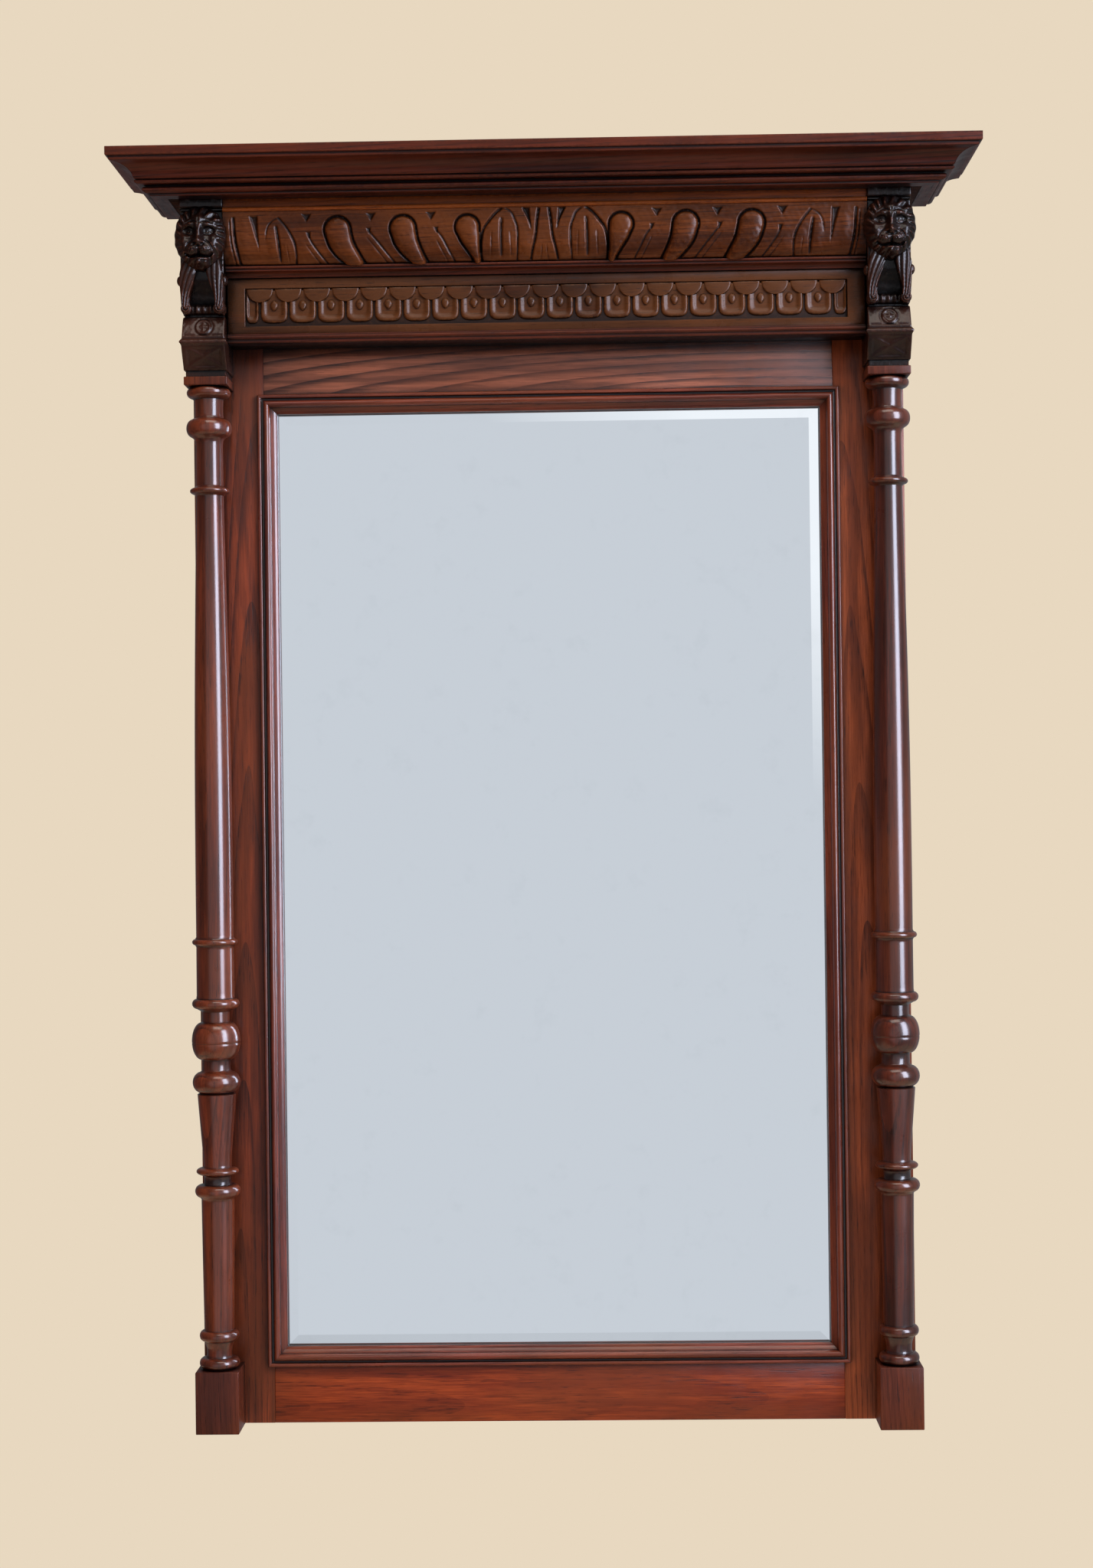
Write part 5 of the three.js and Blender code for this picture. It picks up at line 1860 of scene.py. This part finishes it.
        # middle in x, y and z, and half width
        path = np.array(
            [
                    (13.5, -84.5, 1511.0, 9.5),
                    (15.0, -85.5, 1502.0, 10.4),
                    (17.2, -85.0, 1492.0, 10.2),
                    (19.2, -82.5, 1481.0, 8.6),
                    (21.0, -79.5, 1470.0, 6.6),
                    (21.8, -77.5, 1460.0, 5.4),
                    (21.4, -76.5, 1451.0, 5.2),
            ]
        )
        fine = np.linspace(0, len(path) - 1, 40)
        x, y, z, half = (np.interp(fine, np.arange(len(path)), column) for column in path.T)
        share = np.linspace(-1, 1, 19)
        for sign in SIDES.values():
            rings = []
            for i in range(len(fine)):
                strands = 1.5 * np.abs(np.sin(1.5 * math.pi * (share + 0.035 * i)))
                ridge = strands + 2.2 * np.sqrt(1 - 0.97 * share**2)
                front = np.stack([sign * x[i] + share * half[i], y[i] - ridge, np.full(19, z[i])], axis=1)
                rear = front[[-1, 0]]
                rear[:, 1] = -60
                rings.append(np.concatenate([front, rear]))
            form.tube(rings)
            curl, knob = (sign * 21.0, 1449.5), (sign * 28.4, 1485.0)

            def scroll(a: Array, b: Array, share_: Array) -> Array:
                """Rise of a small scroll with its spiral groove."""
                spin = np.arctan2(b - curl[1], sign * (a - curl[0]))
                groove = (0.5 + 0.5 * np.cos(spin - 4.2 * math.pi * share_)) * smoothstep(0.12, 0.3, share_)
                return 5.4 * np.sqrt(np.clip(1 - 0.98 * share_**2, 0, 1)) - 1.7 * groove * (1 - share_**4)

            def mound(a: Array, b: Array, share_: Array) -> Array:
                """Rise of a curl."""
                return 5.5 * np.sqrt(np.clip(1 - 0.98 * share_**2, 0, 1))

            form.dome(np.stack([7.0 * c, 7.0 * s], axis=1) + curl, curl, scroll, -62.0, base=-75.0)
            form.dome(np.stack([4.2 * c, 6.4 * s], axis=1) + knob, knob, mound, -70.0, base=-74.0, rings=8)

    def build(self, finishes: Finishes) -> None:
        """Makes both brackets and both masks.

        Args:
            finishes: The mirror's finishes.
        """
        for side, sign in SIDES.items():
            body = self.body()
            self.volutes(body)
            mask = self.head().shift(z=self.mask_middle)
            self.locks(mask)
            for part, form, foot, sharp in (("bracket", body, self.foot, 46), ("mask", mask, 0.0, 60)):
                mesh = form.shift(x=sign * self.axis_x, z=foot).bake(part, sharp, 1.8)
                hand_over(f"oak_{part}_{side}", mesh, "oak_bracket", finishes.bracket, f"{part}_{side}")


# ------------------------------------------------------------------ cornice


@dataclass
class Cornice:
    """Deep moulded cornice, mitred at both front corners.

    Attributes:
        base_half: Half of its length at its lower edge.
        base_front: Distance of its lower edge in front of the frame.
        level: Height of its lower edge.
        height: Its height.
        projection: How far its top stands past its base.
        wood: Thickness behind the base.
        gap: Gap at a mitre.
    """

    base_half: float = 501.0
    base_front: float = 105.0
    level: float = 1588.0
    height: float = 52.0
    projection: float = 48.0
    wood: float = 20.0
    gap: float = 0.15

    def profile(self) -> list[Point2]:
        """Section as distance out from the base and height."""
        p = self.projection
        cove = [(out, 18.4 + (up - 18.4) * 0.98) for out, up in arc(42, 18.4, 24, 17.6, 172, 100, 20)]
        outline = [
            (-self.wood, 0.0),
            (0.0, 0.0),
            (0.0, 2.5),
            *arc(2, 6.8, 6.5, 4.2, -82, 72, 14),
            (5.0, 11.8),
            (9.0, 12.4),
            *arc(13, 15, 4, 2.6, -82, 72, 10),
            (16.5, 18.2),
            *cove,
            (p - 4, 36.4),
            (p - 4, 40.4),
            (p, 41.2),
            (p, self.height),
            (p - 24, self.height),
            (p - 24, self.height - 8),
            (-self.wood, self.height - 8),
        ]
        return even(ease(outline, 0.6), 1.5)

    def build(self, finishes: Finishes) -> None:
        """Makes the front and both returns.

        Args:
            finishes: The mirror's finishes.
        """
        profile = self.profile()

        def front(out: float, up: float, end: int) -> Point3:
            """Point of the section at one end of the front."""
            along = (1 if end else -1) * (self.base_half + out - self.gap)
            return along, -self.base_front - out, up + self.level

        mesh = Form().bar(profile, front).bake("front", 30, 1.6)
        hand_over("oak_cornice_front", mesh, "oak_cornice", finishes.cornice_across, "cornice_front")
        for side, sign in SIDES.items():

            def back(out: float, up: float, end: int) -> Point3:
                """Point of the section at one end of the return."""
                y = FACE_TO_WALL if end else -self.base_front - out + self.gap
                return sign * (self.base_half + out), y, up + self.level

            mesh = Form().bar(profile, back).bake("return", 30, 1.6)
            node = f"cornice_return_{side}"
            hand_over(f"oak_{node}", mesh, "oak_cornice", finishes.cornice_return, node)


# ------------------------------------------------------------------ studio


@dataclass(frozen=True)
class Lamp:
    """A soft area lamp.

    Attributes:
        name: Its name.
        place: Its place in metres.
        size: Its width and height in metres.
        power: Its power in watts.
        colour: Its colour.
        lights: Whether it lights matt surfaces.
        shines: Whether varnish and glass reflect it.
    """

    name: str
    place: Point3
    size: Point2
    power: float
    colour: str
    lights: bool = True
    shines: bool = True

    def hang(self, aim: Vector) -> None:
        """Hangs the lamp.

        Args:
            aim: The point that it faces.
        """
        data = bpy.data.lights.new(self.name, "AREA")
        data.shape, data.energy = "RECTANGLE", self.power
        data.size, data.size_y = self.size
        data.color = linear(self.colour)[:3]
        lamp = link(self.name, data)
        lamp.location = self.place
        lamp.rotation_euler = (aim - Vector(self.place)).to_track_quat("-Z", "Y").to_euler()
        lamp.visible_camera, lamp.visible_diffuse, lamp.visible_glossy = False, self.lights, self.shines


@dataclass
class Studio:
    """Camera, lamps, pale floor and surroundings.

    Attributes:
        eye: Place of the camera in the drawing's frame.
        turn: Angle in degrees by which the camera looks to the left.
        pitch: Angle by which it looks up.
        roll: Angle by which it leans.
        lens: Focal length for a sensor of 36 mm on the long side.
        wall: Colour that the camera sees round the object.
        room: Colour that metal and varnish reflect from the front.
    """

    eye: tuple[float, float, float] = (61.0, -3233.0, 820.0)
    turn: float = 1.21
    pitch: float = 0.24
    roll: float = -0.70
    lens: float = 56.67
    wall: str = "#e8d8c0"
    room: str = "#d3d8df"

    LAMPS: ClassVar[tuple[Lamp, ...]] = (
        Lamp("window", (2.5, -2.2, 1.9), (1.6, 2.4), 138, "#e6eeff", shines=False),
        Lamp("panes", (2.5, -2.3, 0.9), (1.5, 3.2), 290, "#dfe8ff", lights=False),
        Lamp("fill", (-3.1, -2.1, 0.1), (1.6, 2.0), 26, "#ffdcb8", shines=False),
        Lamp("ceiling", (0.3, -1.7, 2.9), (2.4, 1.4), 48, "#fff4e8"),
        Lamp("rear", (0.0, 3.0, 1.2), (2.6, 2.0), 75, "#fff4e6", shines=False),
    )

    def camera(self) -> None:
        """Sets the camera at the photograph's viewing angle."""
        data = bpy.data.cameras.new("camera")
        data.lens, data.sensor_width, data.sensor_fit = self.lens, 36.0, "AUTO"
        camera = link("camera", data)
        camera.location = Vector(to_row(self.eye))
        turned = Matrix.Rotation(math.radians(self.turn), 3, "Z")
        raised = Matrix.Rotation(math.radians(90 + self.pitch), 3, "X")
        leaned = Matrix.Rotation(math.radians(self.roll), 3, "Z")
        camera.rotation_euler = (turned @ raised @ leaned).to_euler()
        bpy.context.scene.camera = camera

    def world(self) -> None:
        """Sets the even light, the pale background and what the mirror reflects."""
        world = bpy.data.worlds.new("studio")
        bpy.context.scene.world = world
        world.use_nodes = True
        add = Nodes(world.node_tree).add
        ray = add("ShaderNodeLightPath").outputs
        way = add("ShaderNodeTexCoord").outputs["Generated"]
        dot = {"operation": "DOT_PRODUCT"}
        # the pale wall opposite, which fades out to the sides of the room
        ahead = add(VECTOR, way, (0.0, -1.0, 0.0), **dot)
        front = add(SPAN, ahead, 0.79, 0.925, **SOFT)
        # the sides of the room, dark on the left and lighter towards the window on the right
        across = add(VECTOR, way, (1.0, 0.0, 0.0), **dot)
        shade_ = add(SPAN, across, -0.7, 0.9, 0.88, 0.5)
        side = add(MIX, shade_, self.room, "#000000", **COLOURS)
        # daylight on the wall opposite, high on the right, which the plate's bevels catch
        high = add(VECTOR, way, (0.72, 0.0, 0.69), **dot)
        daylight = (0.98, 1.01, 1.05, 1.0)
        glow = add(SPAN, high, 0.24, 0.3)
        opposite = add(MIX, glow, self.room, daylight, **COLOURS)
        seen = add(MIX, front, side, opposite, **COLOURS)
        light = add("ShaderNodeBackground", "#fff6ea", 0.15)
        room, wall = add("ShaderNodeBackground", seen), add("ShaderNodeBackground", self.wall)
        shiny = add(MATH, ray["Is Glossy Ray"], ray["Is Transmission Ray"], operation="MAXIMUM")
        reflected = add("ShaderNodeMixShader", shiny, light, room)
        add("ShaderNodeOutputWorld", add("ShaderNodeMixShader", ray["Is Camera Ray"], reflected, wall))

    def floor(self) -> None:
        """Lays a plain pale floor well under the object."""
        half, front, back, level = 2.6, -1.6, 1.5, -1.72
        mesh = bpy.data.meshes.new("floor")
        rim = [(-half, front, level), (half, front, level), (half, back, level), (-half, back, level)]
        mesh.from_pydata(rim, [], [(0, 1, 2, 3)])
        m = Material("Pale matt floor")
        # faint patches of 300 mm, as paint or paper has
        patch = m.add(SPAN, m.patches(300, detail=2), 0.3, 0.7, **SOFT)
        colour = m.add(MIX, patch, self.wall, "#e6d6be", **COLOURS)
        mesh.materials.append(m.dress({"Base Color": colour, "Roughness": 0.9, "Specular IOR Level": 0.1}))
        link("floor", mesh)

    def build(self) -> None:
        """Sets up the whole studio."""
        bpy.context.scene.view_settings.view_transform = "Standard"
        self.camera()
        self.world()
        self.floor()
        for lamp in self.LAMPS:
            lamp.hang(aim=Vector((0.0, -0.08, 0.1)))


# ------------------------------------------------------------------ the whole mirror


def main() -> None:
    """Builds all sub-assemblies in order."""
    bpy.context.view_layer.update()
    Studio().build()
    finishes = Finishes()
    for part in (Carcase(), GlassFrame(), Column(), Frieze(), Bracket(), Cornice(), HangingGear()):
        part.build(finishes)
        log.info("%s is done", type(part).__name__)


if __name__ == "__main__":
    main()
